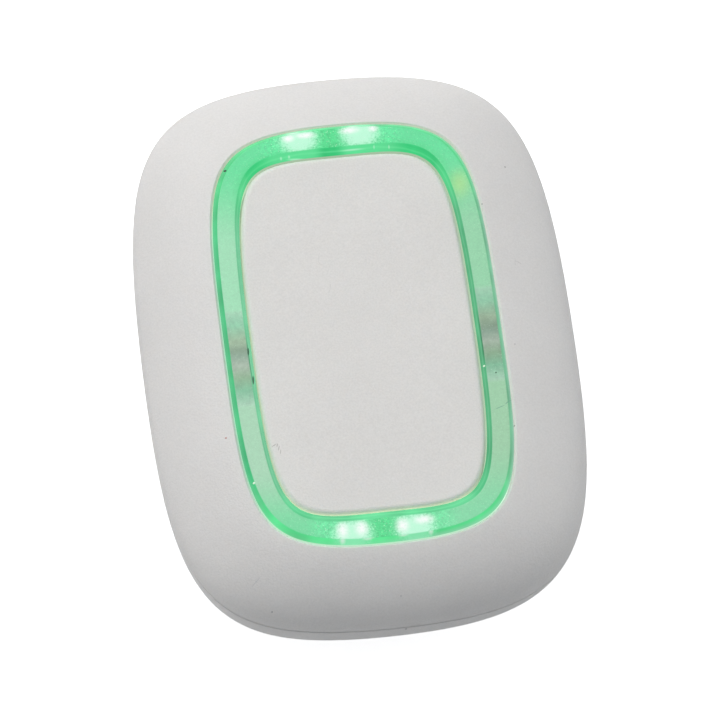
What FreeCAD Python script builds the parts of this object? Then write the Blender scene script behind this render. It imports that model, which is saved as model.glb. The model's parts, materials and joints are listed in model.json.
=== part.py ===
import FreeCAD, Part
import math
import os
from types import SimpleNamespace

import Sketcher
from FreeCAD import Vector

# Wireless panic button: a white pebble of two moulded covers that lies on its flat back, with an
# oval light ring and a large button cap in its face. +X runs across the face, +Y along its long
# axis and +Z out of it. The origin is the middle of the back. Lengths are in millimetres.

# Driving sizes, kept in the document's sheet.
SIZES = {
    # Outline of the closed body where the two covers meet.
    "body_width": 35.0,
    "body_length": 47.0,
    "body_end_share": 0.867,
    "body_side_share": 0.829,
    "cover_wall": 1.6,
    # Crown of the front cover, from the joint of the covers up and in to the opening.
    "crown_rise": 4.5,
    "crown_width_side": 6.32,
    "crown_width_end": 5.7,
    "crown_steepness": 2.1,
    "crown_roundness": 1.25,
    # The back draws in with the square of the depth below the joint.
    "back_taper": 0.0352,
    "back_edge_radius": 1.2,
    "joint_bevel": 0.2,
    # Tongue of the front cover in the recess of the rear cover, with the seal at its foot.
    "rim_lip": 0.8,
    "tongue_gap": 0.05,
    "tongue_depth": 1.6,
    "seal_height": 0.48,
    "snap_length": 8.0,
    "snap_proud": 0.28,
    "snap_gap": 0.06,
    # Opening of the front cover.
    "opening_end_share": 0.975,
    "opening_side_share": 0.85,
    "opening_edge_radius": 0.3,
    "opening_wall": 1.5,
    "ledge_width": 1.4,
    # Light ring between the opening and the button cap.
    "ring_width_side": 2.26,
    "ring_width_end": 2.7,
    "ring_gap": 0.05,
    "bead_rise": 0.42,
    "bead_outer_slope": 0.4,
    "bead_inner_slope_side": 0.46,
    "bead_inner_slope_end": 0.7,
    "ring_lip_height": 1.28,
    "ring_flange_width": 0.7,
    "ring_flange_thickness": 1.08,
    "light_pipe_x": 2.6,
    "light_pipe_width": 3.4,
    "light_pipe_thickness": 1.9,
    "light_pipe_gap": 0.25,
    "latch_y": -1.3,
    "latch_length": 6.8,
    "latch_inset": 0.6,
    "latch_thickness": 1.2,
    "latch_hook": 0.45,
    "latch_hook_height": 0.5,
    "latch_gap": 0.05,
    # Button cap.
    "cap_end_share": 0.905,
    "cap_side_share": 1.03,
    "cap_gap": 0.1,
    "cap_edge_drop": 0.25,
    "cap_edge_radius": 0.35,
    "cap_dome_rise": 0.15,
    "cap_wall": 1.2,
    "cap_top_thickness": 1.15,
    "cap_flange_width": 0.6,
    "cap_flange_gap": 0.08,
    "cap_rib": 0.9,
    "cap_travel": 0.3,
    "cap_floor_gap": 0.3,
    "stem_radius": 2.5,
    "stem_lift": 0.45,
    # Membrane and the frame that clamps it.
    "membrane_thickness": 0.5,
    "membrane_web": 0.35,
    "membrane_dome_radius": 6.0,
    "membrane_pad_radius": 2.6,
    "membrane_pad_height": 1.25,
    "frame_thickness": 1.0,
    "frame_hole_radius": 5.4,
    "passage_gap": 0.15,
    "ear_radius": 1.5,
    "post_radius": 1.7,
    "post_setback_x": 1.88,
    "post_setback_y": 5.9,
    # Screw bosses of the front cover.
    "boss_radius": 1.4,
    "boss_setback_y": 10.0,
    # Screws. The cut thread is left off, so each shank stands just clear of its pilot hole.
    "screw_radius": 0.57,
    "screw_pilot_gap": 0.03,
    "screw_clearance": 0.23,
    "screw_head_radius": 1.3,
    "screw_head_height": 0.8,
    "screw_slot_width": 0.4,
    "screw_slot_depth": 0.35,
    "frame_screw_bite": 1.5,
    "board_screw_bite": 2.2,
    "pilot_spare": 0.2,
    # Circuit board.
    "board_gap": 0.6,
    "board_thickness": 1.0,
    # Coin cell, its holder and its contacts.
    "cell_y": -2.0,
    "cell_radius": 10.0,
    "cell_height": 3.2,
    "cell_lid_radius": 8.4,
    "cell_lid_step": 0.15,
    "cell_edge": 0.4,
    "pad_radius": 9.0,
    "pad_thickness": 0.7,
    "holder_wall": 0.95,
    "holder_gap": 0.25,
    "holder_base": 0.7,
    "holder_reach": 2.3,
    "holder_hole_radius": 3.3,
    "holder_mouth": 14.0,
    "contact_thickness": 0.2,
    "contact_width": 2.6,
    "side_contact_width": 3.6,
    "contact_gap": 0.06,
    "contact_setback": 0.75,
    "rib_width": 0.8,
    # Key switch.
    "switch_width": 6.2,
    "switch_height": 5.0,
    "switch_base_height": 3.2,
    "switch_floor": 0.7,
    "switch_well_radius": 2.6,
    "switch_plate": 0.25,
    "switch_tab_width": 3.0,
    "switch_tab_drop": 1.8,
    "dome_radius": 2.3,
    "dome_rise": 0.6,
    "dome_plate": 0.1,
    "plunger_radius": 1.75,
    "plunger_gap": 0.1,
    "plunger_collar_radius": 2.3,
    "plunger_nub_radius": 1.0,
    "plunger_nub_height": 0.4,
    # Lamps.
    "led_length": 2.0,
    "led_width": 1.4,
    "led_height": 0.8,
    "led_well_radius": 0.5,
    "led_well_depth": 0.3,
    # Aerial, a strip of sheet metal that runs up and down along the board's edge.
    "antenna_setback": 2.6,
    "antenna_width": 0.55,
    "antenna_thickness": 0.3,
    "antenna_pitch": 1.2,
    "antenna_height": 3.2,
    "antenna_foot": 0.6,
    # Radio parts on the board, set back from its edge and from the posts of the inner frame.
    "shield_setback": 1.8,
    "shield_setback_y": 6.1,
    "shield_length": 9.0,
    "shield_width": 7.0,
    "shield_height": 1.8,
    "shield_sheet": 0.2,
    "shield_vent_radius": 0.35,
    "shield_vent_pitch": 2.0,
    "chip_setback": 5.1,
    "chip_setback_y": 6.4,
    "chip_size": 5.0,
    "chip_height": 0.85,
    "chip_mark_radius": 0.3,
    "chip_mark_depth": 0.1,
    "crystal_setback": 7.0,
    "crystal_setback_y": 2.0,
    "crystal_length": 3.2,
    "crystal_width": 2.5,
    "crystal_height": 0.7,
    "capacitor_length": 1.6,
    "capacitor_width": 0.8,
    "capacitor_setback_x": 4.8,
    "capacitor_setback_y": 8.2,
    "capacitor_pitch_x": 2.4,
    "capacitor_pitch_y": 1.7,
    # Lanyard bar at the end of the rear cover.
    "lanyard_width": 5.0,
    "lanyard_slot": 1.8,
    "lanyard_bar_setback": 6.1,
    "lanyard_bar_height": 2.6,
    "lanyard_bar_radius": 1.1,
    "lanyard_wall": 1.2,
}

# Shares of the crown's rise and of the back's depth at which an outline is drawn.
CROWN_LEVELS = (0.3, 0.55, 0.75, 0.9, 1.0)
CAVITY_LEVELS = (0.0, 0.4, 0.75, 1.0)
BACK_LEVELS = (0.0, 0.2, 0.45, 0.72, 1.0)
# Shares of a quarter turn at which a lofted rounding is drawn.
ROUNDING_TURNS = (0.0, 0.35, 0.7, 1.0)
# Shares of the cap's reach at which its dome is drawn.
DOME_SHARES = (0.8, 0.5, 0.2)
ANTENNA_RUNS = range(8)
SHIELD_VENT_COLUMNS = (-1, 0, 1)
SHIELD_VENT_ROWS = (-0.5, 0.5)
CAPACITOR_COLUMNS = range(2)
CAPACITOR_ROWS = range(4)
CORNERS = ((1, 1), (-1, 1), (-1, -1), (1, -1))
SIDES = (1, -1)
# How a sketch names its axes, its origin and the centre of a curve.
AXIS_X = -1
AXIS_Y = -2
ORIGIN = (-1, 1)
CENTRE = 3


class Size:
    """A number with the expression that yields it, so that one formula sets a shape and its tie."""

    def __init__(self, value, text):
        self.value = value
        self.text = text

    @staticmethod
    def of(other):
        if isinstance(other, Size):
            return other
        return Size(float(other), f"{float(other):.6f}")

    def __add__(self, other):
        other = Size.of(other)
        return Size(self.value + other.value, f"({self.text} + {other.text})")

    def __sub__(self, other):
        other = Size.of(other)
        return Size(self.value - other.value, f"({self.text} - {other.text})")

    def __mul__(self, other):
        other = Size.of(other)
        return Size(self.value * other.value, f"({self.text} * {other.text})")

    def __truediv__(self, other):
        other = Size.of(other)
        return Size(self.value / other.value, f"({self.text} / {other.text})")

    def __pow__(self, other):
        other = Size.of(other)
        return Size(self.value**other.value, f"({self.text}^{other.text})")

    def __radd__(self, other):
        return Size.of(other) + self

    def __rsub__(self, other):
        return Size.of(other) - self

    def __rmul__(self, other):
        return Size.of(other) * self

    def __rtruediv__(self, other):
        return Size.of(other) / self

    def __rpow__(self, other):
        return Size.of(other) ** self

    def __neg__(self):
        return 0 - self


doc = FreeCAD.newDocument("panic_button")
sheet = doc.addObject("Spreadsheet::Sheet", "Sizes")
for row, (alias, number) in enumerate(SIZES.items(), start=1):
    sheet.set(f"A{row}", alias.replace("_", " "))
    sheet.set(f"B{row}", str(number))
    sheet.setAlias(f"B{row}", alias)
doc.recompute()
size = SimpleNamespace(**{alias: Size(number, f"Sizes.{alias}") for alias, number in SIZES.items()})
subparts = []


def bind(item, name, value):
    """Ties a property to the sheet."""
    item.setExpression(name, Size.of(value).text)


def keep(item, label):
    """Names a finished sub-part, which is written under that name."""
    item.Label = label
    subparts.append(item)
    return item


def new_body(label):
    return keep(doc.addObject("PartDesign::Body", label), label)


def place(item, x, y, z):
    """Ties the place of a body or a block to the sheet."""
    for axis, value in (("x", x), ("y", y), ("z", z)):
        bind(item, f"Placement.Base.{axis}", value)


def mirrored(x, y):
    """The four mirror places of a point."""
    return [(x * sign_x, y * sign_y) for sign_x, sign_y in CORNERS]


def outline(half_x, half_y, end_share, side_share):
    """Four cubic curves that meet on the axes. The shares say how far a curve keeps to its box."""
    return SimpleNamespace(half_x=half_x, half_y=half_y, end_share=end_share, side_share=side_share)


def inset(base, distance_x, distance_y=None):
    """The same outline drawn in by a distance, or let out by a negative one."""
    distance_y = distance_x if distance_y is None else distance_y
    return outline(base.half_x - distance_x, base.half_y - distance_y, base.end_share, base.side_share)


def between(first, second, share):
    """An outline that lies part of the way from the first to the second."""

    def mixed(name):
        start, end = getattr(first, name), getattr(second, name)
        return start + (end - start) * share

    return outline(mixed("half_x"), mixed("half_y"), mixed("end_share"), mixed("side_share"))


body_outline = outline(
    size.body_width / 2,
    size.body_length / 2,
    size.body_end_share,
    size.body_side_share,
)
opening = outline(
    body_outline.half_x - size.crown_width_side,
    body_outline.half_y - size.crown_width_end,
    size.opening_end_share,
    size.opening_side_share,
)
cap_outline = outline(
    opening.half_x - size.ring_width_side,
    opening.half_y - size.ring_width_end,
    size.cap_end_share,
    size.cap_side_share,
)

# Heights above the back, stacked from the floor of the rear cover up to the bead of the light ring.
cell_bottom = size.cover_wall + size.pad_thickness
cell_top = cell_bottom + size.cell_height
holder_rim = cell_top - size.holder_reach
board_bottom = cell_top + size.holder_base
board_top = board_bottom + size.board_thickness
switch_top = board_top + size.switch_height
stem_bottom = switch_top + size.membrane_pad_height
membrane_top = stem_bottom - size.stem_lift
frame_top = membrane_top - size.membrane_thickness
frame_bottom = frame_top - size.frame_thickness
ledge_height = membrane_top + size.ring_flange_thickness
opening_height = ledge_height + size.opening_wall
bead_height = opening_height + size.bead_rise
joint_height = opening_height - size.crown_rise
recess_floor = joint_height - size.tongue_depth - size.seal_height
ring_lip_bottom = opening_height - size.ring_lip_height
cap_bottom = membrane_top + size.cap_travel + size.cap_floor_gap
cap_flange_top = ring_lip_bottom - size.cap_flange_gap
cap_ceiling = opening_height - size.cap_top_thickness
cap_edge_foot = opening_height - size.cap_edge_drop


def crown_share(level):
    """How far the crown has drawn in from the body's outline to the opening at a share of its rise."""
    return 1 - (1 - level**size.crown_steepness) ** (1 / size.crown_roundness)


def back_inset(depth):
    """How far the back has drawn in at a depth below the joint of the covers."""
    return size.back_taper * depth * depth


# Outlines and places that several pieces share.
tongue_outer = inset(body_outline, size.rim_lip + size.tongue_gap)
tongue_inner = inset(body_outline, size.cover_wall)
board_edge = inset(body_outline, back_inset(joint_height - board_bottom) + size.cover_wall + size.board_gap)
plate_outline = inset(opening, -size.ring_flange_width)
ring_outline = inset(opening, size.ring_gap)
cap_bore = inset(cap_outline, -size.cap_gap)
cap_flange = inset(cap_outline, -size.cap_flange_width)
cap_chamber = inset(cap_flange, -(size.cap_gap + size.ring_gap))
latch_inner_x = cap_chamber.half_x + size.latch_inset
pipe_places = mirrored(size.light_pipe_x, cap_chamber.half_y + size.light_pipe_thickness / 2)
boss_places = mirrored(
    plate_outline.half_x + size.ring_gap + size.boss_radius, plate_outline.half_y - size.boss_setback_y
)
post_places = mirrored(
    plate_outline.half_x - size.post_setback_x, plate_outline.half_y - size.post_setback_y
)
pilot_radius = size.screw_radius + size.screw_pilot_gap
clearance_radius = size.screw_radius + size.screw_clearance


# Sketches.
def new_sketch(body, name, height=0.0, plane="XY_Plane"):
    """A sketch on one of the body's own planes, moved along the plane's normal."""
    sketch = body.newObject("Sketcher::SketchObject", name)
    support = next(item for item in body.Origin.OriginFeatures if item.Role == plane)
    sketch.AttachmentSupport = [(support, "")]
    sketch.MapMode = "FlatFace"
    bind(sketch, "AttachmentOffset.Base.z", height)
    return sketch


def dimension(sketch, rule, name, value):
    """Adds a driving dimension that is tied to the sheet."""
    index = sketch.addConstraint(rule)
    sketch.renameConstraint(index, name)
    bind(sketch, f"Constraints.{name}", value)


def locate(sketch, curve, point, x, y, tag):
    """Fixes a point of a curve at x and y from the sketch's origin."""
    for kind, axis, distance in (("DistanceX", AXIS_Y, Size.of(x)), ("DistanceY", AXIS_X, Size.of(y))):
        if distance.value == 0:
            sketch.addConstraint(Sketcher.Constraint("PointOnObject", curve, point, axis))
        else:
            rule = Sketcher.Constraint(kind, *ORIGIN, curve, point, distance.value)
            dimension(sketch, rule, f"{tag}_{kind}", distance)


def guide(sketch, x, y, tag):
    """A construction line from the origin whose far end carries two dimensions."""
    line = Part.LineSegment(Vector(0, 0, 0), Vector(x.value, y.value, 0))
    index = sketch.addGeometry(line, True)
    sketch.addConstraint(Sketcher.Constraint("Coincident", index, 1, *ORIGIN))
    locate(sketch, index, 2, x, y, tag)
    return index


def draw_outline(sketch, shape, tag):
    """Draws an outline as four cubic curves, the first tied to two guides and the others mirrored."""
    reach_x, reach_y = shape.half_x * shape.end_share, shape.half_y * shape.side_share
    corner = guide(sketch, shape.half_x, shape.half_y, f"{tag}_corner")
    reach = guide(sketch, reach_x, reach_y, f"{tag}_reach")
    quarter = (
        (shape.half_x.value, 0),
        (shape.half_x.value, reach_y.value),
        (reach_x.value, shape.half_y.value),
        (0, shape.half_y.value),
    )
    curves = []
    for turn, (sign_x, sign_y) in enumerate(CORNERS):
        points = [Vector(sign_x * x, sign_y * y, 0) for x, y in quarter]
        if turn % 2:
            points.reverse()
        curve = Part.BSplineCurve()
        curve.buildFromPolesMultsKnots(points, [4, 4], [0, 1], False, 3)
        curves.append(sketch.addGeometry(curve))
        sketch.exposeInternalGeometry(curves[-1])

    def pole(curve, index):
        return curve + 1 + index, CENTRE

    def tie(kind, *points):
        sketch.addConstraint(Sketcher.Constraint(kind, *points))

    first, second, third, fourth = curves
    tie("PointOnObject", *pole(first, 0), AXIS_X)
    tie("Vertical", *pole(first, 0), corner, 2)
    tie("Vertical", *pole(first, 1), corner, 2)
    tie("Horizontal", *pole(first, 1), reach, 2)
    tie("Vertical", *pole(first, 2), reach, 2)
    tie("Horizontal", *pole(first, 2), corner, 2)
    tie("PointOnObject", *pole(first, 3), AXIS_Y)
    tie("Horizontal", *pole(first, 3), corner, 2)
    tie("Coincident", second, 1, first, 2)
    tie("Symmetric", *pole(first, 2), *pole(second, 1), AXIS_Y)
    tie("Symmetric", *pole(first, 1), *pole(second, 2), AXIS_Y)
    tie("Symmetric", *pole(first, 0), *pole(second, 3), AXIS_Y)
    tie("Coincident", third, 1, second, 2)
    tie("Symmetric", *pole(second, 2), *pole(third, 1), AXIS_X)
    tie("Symmetric", *pole(second, 1), *pole(third, 2), AXIS_X)
    tie("Symmetric", *pole(first, 3), *pole(third, 3), AXIS_X)
    tie("Coincident", fourth, 1, third, 2)
    tie("Symmetric", *pole(third, 2), *pole(fourth, 1), AXIS_Y)
    tie("Symmetric", *pole(third, 1), *pole(fourth, 2), AXIS_Y)
    tie("Coincident", fourth, 2, first, 1)


def outline_sketch(body, name, height, *shapes):
    """A sketch of one outline, or of two that bound a ring."""
    sketch = new_sketch(body, name, height)
    for index, shape in enumerate(shapes):
        draw_outline(sketch, shape, f"edge{index}")
    return sketch


def draw_circle(sketch, radius, x, y, tag):
    middle = Vector(Size.of(x).value, Size.of(y).value, 0)
    curve = sketch.addGeometry(Part.Circle(middle, Vector(0, 0, 1), radius.value))
    locate(sketch, curve, CENTRE, x, y, f"{tag}_centre")
    dimension(sketch, Sketcher.Constraint("Radius", curve, radius.value), f"{tag}_radius", radius)


def circle_sketch(body, name, height, radius, centres=((0, 0),)):
    """A sketch of equal circles at given centres."""
    sketch = new_sketch(body, name, height)
    for index, (x, y) in enumerate(centres):
        draw_circle(sketch, radius, x, y, f"circle{index}")
    return sketch


def draw_path(sketch, corners, tag):
    """Draws a closed run of straight lines with each corner tied to the sheet."""
    points = [Vector(Size.of(x).value, Size.of(y).value, 0) for x, y in corners]
    ends = points[1:] + points[:1]
    lines = [sketch.addGeometry(Part.LineSegment(start, end)) for start, end in zip(points, ends)]
    for index, line in enumerate(lines):
        following = lines[(index + 1) % len(lines)]
        sketch.addConstraint(Sketcher.Constraint("Coincident", line, 2, following, 1))
        locate(sketch, line, 1, *corners[index], f"{tag}_{index}")


def path_sketch(body, name, *paths, height=0.0, plane="XZ_Plane"):
    """A sketch of one or more closed paths."""
    sketch = new_sketch(body, name, height, plane)
    for index, corners in enumerate(paths):
        draw_path(sketch, corners, f"path{index}")
    return sketch


def rectangle(x, y, length, width):
    """The corners of a rectangle about a centre."""
    half_x, half_y = length / 2, width / 2
    return [(x + half_x * sign_x, y + half_y * sign_y) for sign_x, sign_y in CORNERS]


def rectangle_sketch(body, name, height, *rectangles):
    return path_sketch(body, name, *rectangles, height=height, plane="XY_Plane")


# Features.
def pad(body, name, sketch, length, centred=False):
    """Adds material from the sketch along its normal, or half to each side."""
    feature = body.newObject("PartDesign::Pad", name)
    feature.Profile = sketch
    bind(feature, "Length", length)
    feature.SideType = "Symmetric" if centred else "One side"
    return feature


def pocket(body, name, sketch, depth, centred=False, upward=False):
    """Cuts from the sketch against its normal, along it, or half to each side."""
    feature = body.newObject("PartDesign::Pocket", name)
    feature.Profile = sketch
    bind(feature, "Length", depth)
    feature.SideType = "Symmetric" if centred else "One side"
    feature.Reversed = upward
    return feature


def loft(body, name, sketches, ruled=False, cut=False):
    """A skin through the sketches, added or cut."""
    feature = body.newObject("PartDesign::SubtractiveLoft" if cut else "PartDesign::AdditiveLoft", name)
    feature.Profile = sketches[0]
    feature.Sections = sketches[1:]
    feature.Ruled = ruled
    return feature


def turned(body, name, profile):
    """A solid of revolution about the body's Z axis, from pairs of radius and height."""
    sketch = path_sketch(body, f"{name}_profile", profile)
    feature = body.newObject("PartDesign::Revolution", name)
    feature.Profile = sketch
    feature.ReferenceAxis = (sketch, ["V_Axis"])
    feature.Angle = 360
    return feature


def rounding(body, name, radius, chosen):
    """Rounds the edges of the body so far that a test picks."""
    doc.recompute()
    base = body.Tip
    names = [f"Edge{index}" for index, edge in enumerate(base.Shape.Edges, start=1) if chosen(edge)]
    feature = body.newObject("PartDesign::Fillet", name)
    feature.Base = (base, names)
    bind(feature, "Radius", radius)
    return feature


def lies_at(edge, height):
    """True for an edge that lies flat at a height."""
    box = edge.BoundBox
    return abs(box.ZMin - height.value) < 1e-3 and abs(box.ZMax - height.value) < 1e-3


def runs_across(edge, y, z):
    """True for an edge parallel to X through a point of the YZ plane."""
    box = edge.BoundBox
    near = abs(box.Center.y - y.value) < 1e-3 and abs(box.Center.z - z.value) < 1e-3
    return near and box.XLength > 1 and box.YLength < 1e-3


# Covers.
def snap_path(side, gap):
    """Section of the snap ridge on the tongue, let out by a gap for its groove."""
    crest = tongue_outer.half_x + size.snap_proud + gap
    root = tongue_outer.half_x - size.snap_proud
    middle = joint_height - size.tongue_depth / 2
    run = (
        (root, middle - size.snap_proud * 2 - gap),
        (crest, middle - size.snap_proud / 2 - gap),
        (crest, middle + size.snap_proud / 2 + gap),
        (root, middle + size.snap_proud * 2 + gap),
    )
    return [(x * side, z) for x, z in run]


def make_front_cover():
    body = new_body("front_cover")
    bevel = outline_sketch(body, "bevel_section", joint_height, inset(body_outline, size.joint_bevel))
    foot = outline_sketch(body, "foot_section", joint_height + size.joint_bevel, body_outline)
    loft(body, "joint_bevel", [bevel, foot], ruled=True)
    sections = [foot]
    for index, level in enumerate(CROWN_LEVELS):
        height = joint_height + size.crown_rise * level
        shape = between(body_outline, opening, crown_share(level))
        sections.append(outline_sketch(body, f"crown_{index}", height, shape))
    loft(body, "crown", sections)
    hollow_foot = inset(body_outline, size.cover_wall)
    hollow_top = inset(opening, -size.ledge_width)
    hollow_rise = ledge_height - joint_height
    sections = []
    for index, level in enumerate(CAVITY_LEVELS):
        shape = between(hollow_foot, hollow_top, crown_share(level))
        sections.append(outline_sketch(body, f"cavity_{index}", joint_height + hollow_rise * level, shape))
    loft(body, "cavity", sections, cut=True)
    mouth = outline_sketch(body, "mouth", opening_height, opening)
    pocket(body, "opening", mouth, opening_height - joint_height)
    loft(body, "opening_rounding", opening_rounding_sections(body), cut=True)
    foot_height = joint_height - size.tongue_depth
    ring = outline_sketch(body, "tongue_section", foot_height, tongue_outer, tongue_inner)
    pad(body, "tongue", ring, size.tongue_depth + size.rim_lip)
    ridges = path_sketch(body, "snap_section", *(snap_path(side, 0.0) for side in SIDES))
    pad(body, "snap_ridges", ridges, size.snap_length, centred=True)
    bosses = circle_sketch(body, "boss_circles", frame_top, size.boss_radius, boss_places)
    pad(body, "bosses", bosses, ledge_height - frame_top)
    pilots = circle_sketch(body, "pilot_circles", frame_top, pilot_radius, boss_places)
    pocket(body, "pilots", pilots, size.frame_screw_bite + size.pilot_spare, upward=True)


def opening_rounding_sections(body):
    """Outlines that widen like a quarter of a circle up to the opening's edge."""
    sections = []
    for index, share in enumerate(ROUNDING_TURNS):
        angle = math.radians(90 * share)
        spread = size.opening_edge_radius * (1 - math.cos(angle))
        drop = size.opening_edge_radius * (1 - math.sin(angle))
        shape = inset(opening, -spread)
        sections.append(outline_sketch(body, f"opening_round_{index}", opening_height - drop, shape))
    return sections


def make_rear_cover():
    body = new_body("rear_cover")
    sections = []
    for index, level in enumerate(BACK_LEVELS):
        height = (joint_height - size.joint_bevel) * level
        shape = inset(body_outline, back_inset(joint_height - height))
        sections.append(outline_sketch(body, f"wall_{index}", height, shape))
    loft(body, "outside", sections)
    bevel = outline_sketch(body, "bevel_section", joint_height, inset(body_outline, size.joint_bevel))
    loft(body, "joint_bevel", [sections[-1], bevel], ruled=True)
    rounding(body, "back_edge", size.back_edge_radius, lambda edge: lies_at(edge, Size.of(0)))
    sections = []
    for index, level in enumerate(BACK_LEVELS):
        height = size.cover_wall + (joint_height - size.cover_wall) * level
        shape = inset(body_outline, back_inset(joint_height - height) + size.cover_wall)
        sections.append(outline_sketch(body, f"hollow_{index}", height, shape))
    loft(body, "inside", sections, cut=True)
    recess = outline_sketch(body, "recess_section", joint_height, inset(body_outline, size.rim_lip))
    pocket(body, "recess", recess, joint_height - recess_floor)
    grooves = path_sketch(body, "snap_section", *(snap_path(side, size.snap_gap) for side in SIDES))
    pocket(body, "snap_grooves", grooves, size.snap_length + size.snap_gap * 2, centred=True)
    add_cell_rib(body)
    add_lanyard_bar(body)


def add_cell_rib(body):
    """A round rib on the floor that keeps the coin cell in place."""
    inner = size.cell_radius + size.holder_gap * 2
    sketch = circle_sketch(body, "rib_circles", size.cover_wall, inner, ((0, size.cell_y),))
    draw_circle(sketch, inner + size.rib_width, 0, size.cell_y, "outer")
    pad(body, "cell_rib", sketch, holder_rim - size.holder_gap - size.cover_wall)


def add_lanyard_bar(body):
    """A slot that turns from the back face to the end wall, which leaves a bar for a lanyard."""
    bar_y = body_outline.half_y - size.lanyard_bar_setback
    slot_y = bar_y - size.lanyard_slot
    slot_top = size.lanyard_bar_height + size.lanyard_slot
    floor = size.cover_wall / 2
    block_y = slot_y - size.lanyard_wall
    block_top = slot_top + size.lanyard_wall
    bend = size.lanyard_bar_radius * 1.5
    wall_y = body_outline.half_y - size.cover_wall / 2
    block = [
        (block_y, floor),
        (block_y, block_top - bend),
        (block_y + bend, block_top),
        (wall_y - back_inset(joint_height - block_top), block_top),
        (wall_y - back_inset(joint_height - floor), floor),
    ]
    sketch = path_sketch(body, "lanyard_block_section", block, plane="YZ_Plane")
    pad(body, "lanyard_block", sketch, size.lanyard_width + size.lanyard_wall * 2, centred=True)
    beyond = body_outline.half_y + size.cover_wall
    below = -size.cover_wall
    slot = [
        (slot_y, below),
        (slot_y, slot_top),
        (beyond, slot_top),
        (beyond, size.lanyard_bar_height),
        (bar_y, size.lanyard_bar_height),
        (bar_y, below),
    ]
    sketch = path_sketch(body, "lanyard_slot_section", slot, plane="YZ_Plane")
    pocket(body, "lanyard_slot", sketch, size.lanyard_width, centred=True)
    corners = {"bar_corner": (bar_y, size.lanyard_bar_height), "slot_corner": (slot_y, slot_top)}
    for name, (y, z) in corners.items():
        rounding(body, name, size.lanyard_bar_radius, lambda edge: runs_across(edge, y, z))


def make_housing_seal():
    body = new_body("housing_seal")
    ring = outline_sketch(body, "seal_section", recess_floor, tongue_outer, tongue_inner)
    pad(body, "seal", ring, size.seal_height)


# Ring, cap and what holds them.
def pipe_rectangles(gap=0.0):
    length = size.light_pipe_width + gap * 2
    width = size.light_pipe_thickness + gap * 2
    return [rectangle(x, y, length, width) for x, y in pipe_places]


def latch_notches():
    """Rectangles that clear the ring's two latches, open at the side."""
    inner = latch_inner_x - size.latch_gap
    outer = opening.half_x + size.ledge_width
    middle = (inner + outer) / 2
    length = size.latch_length + size.passage_gap * 2
    return [rectangle(middle * side, size.latch_y, outer - inner, length) for side in SIDES]


def passage_sketch(body, height):
    """Room for the ring's light pipes and latches in a sheet that they pass through."""
    return rectangle_sketch(body, "passages", height, *pipe_rectangles(size.passage_gap), *latch_notches())


def make_light_ring():
    body = new_body("light_ring")
    flange = outline_sketch(body, "flange_section", membrane_top, plate_outline)
    pad(body, "flange", flange, size.ring_flange_thickness)
    wall = outline_sketch(body, "wall_section", membrane_top, ring_outline)
    pad(body, "wall", wall, opening_height - membrane_top)
    band_outer = inset(opening, size.bead_outer_slope)
    foot = outline_sketch(body, "bead_foot", opening_height, ring_outline)
    crest = outline_sketch(body, "bead_crest", bead_height, band_outer)
    loft(body, "bead", [foot, crest], ruled=True)
    band_inner = inset(cap_outline, -size.bead_inner_slope_side, -size.bead_inner_slope_end)
    slope_foot = outline_sketch(body, "slope_foot", opening_height, cap_bore)
    slope_crest = outline_sketch(body, "slope_crest", bead_height, band_inner)
    loft(body, "inner_slope", [slope_foot, slope_crest], ruled=True, cut=True)
    bore = outline_sketch(body, "bore_section", opening_height, cap_bore)
    pocket(body, "bore", bore, opening_height - membrane_top)
    chamber = outline_sketch(body, "chamber_section", ring_lip_bottom, cap_chamber)
    pocket(body, "chamber", chamber, ring_lip_bottom - membrane_top)
    flange_middle = membrane_top + size.ring_flange_thickness / 2
    pipe_bottom = board_top + size.led_height + size.light_pipe_gap
    pipes = rectangle_sketch(body, "pipe_sections", pipe_bottom, *pipe_rectangles())
    pad(body, "light_pipes", pipes, flange_middle - pipe_bottom)
    hook_top = frame_bottom - size.latch_gap
    latch = (
        (latch_inner_x, flange_middle),
        (latch_inner_x, hook_top),
        (latch_inner_x - size.latch_hook, hook_top),
        (latch_inner_x, hook_top - size.latch_hook_height),
        (latch_inner_x + size.latch_thickness, hook_top - size.latch_hook_height),
        (latch_inner_x + size.latch_thickness, flange_middle),
    )
    paths = [[(x * side, z) for x, z in latch] for side in SIDES]
    sketch = path_sketch(body, "latch_sections", *paths, height=-size.latch_y)
    pad(body, "latches", sketch, size.latch_length, centred=True)


def make_button_cap():
    body = new_body("button_cap")
    flange = outline_sketch(body, "flange_section", cap_bottom, cap_flange)
    pad(body, "flange", flange, cap_flange_top - cap_bottom)
    wall = outline_sketch(body, "wall_section", cap_bottom, cap_outline)
    pad(body, "wall", wall, cap_edge_foot - cap_bottom)
    rounding_sections = cap_rounding_sections(body)
    loft(body, "edge_rounding", rounding_sections)
    loft(body, "dome", [rounding_sections[-1], *cap_dome_sections(body)])
    hollow = outline_sketch(body, "hollow_section", cap_bottom, inset(cap_outline, size.cap_wall))
    pocket(body, "hollow", hollow, cap_ceiling - cap_bottom, upward=True)
    root = size.cap_wall / 4
    ribs = {
        "rib_across": rectangle(0, 0, cap_outline.half_x * 2 - size.cap_wall, size.cap_rib),
        "rib_along": rectangle(0, 0, size.cap_rib, cap_outline.half_y * 2 - size.cap_wall),
    }
    for name, rib in ribs.items():
        sketch = rectangle_sketch(body, f"{name}_section", cap_bottom, rib)
        pad(body, name, sketch, cap_ceiling - cap_bottom + root)
    stem = circle_sketch(body, "stem_circle", stem_bottom, size.stem_radius)
    pad(body, "stem", stem, cap_ceiling - stem_bottom + root)


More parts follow.
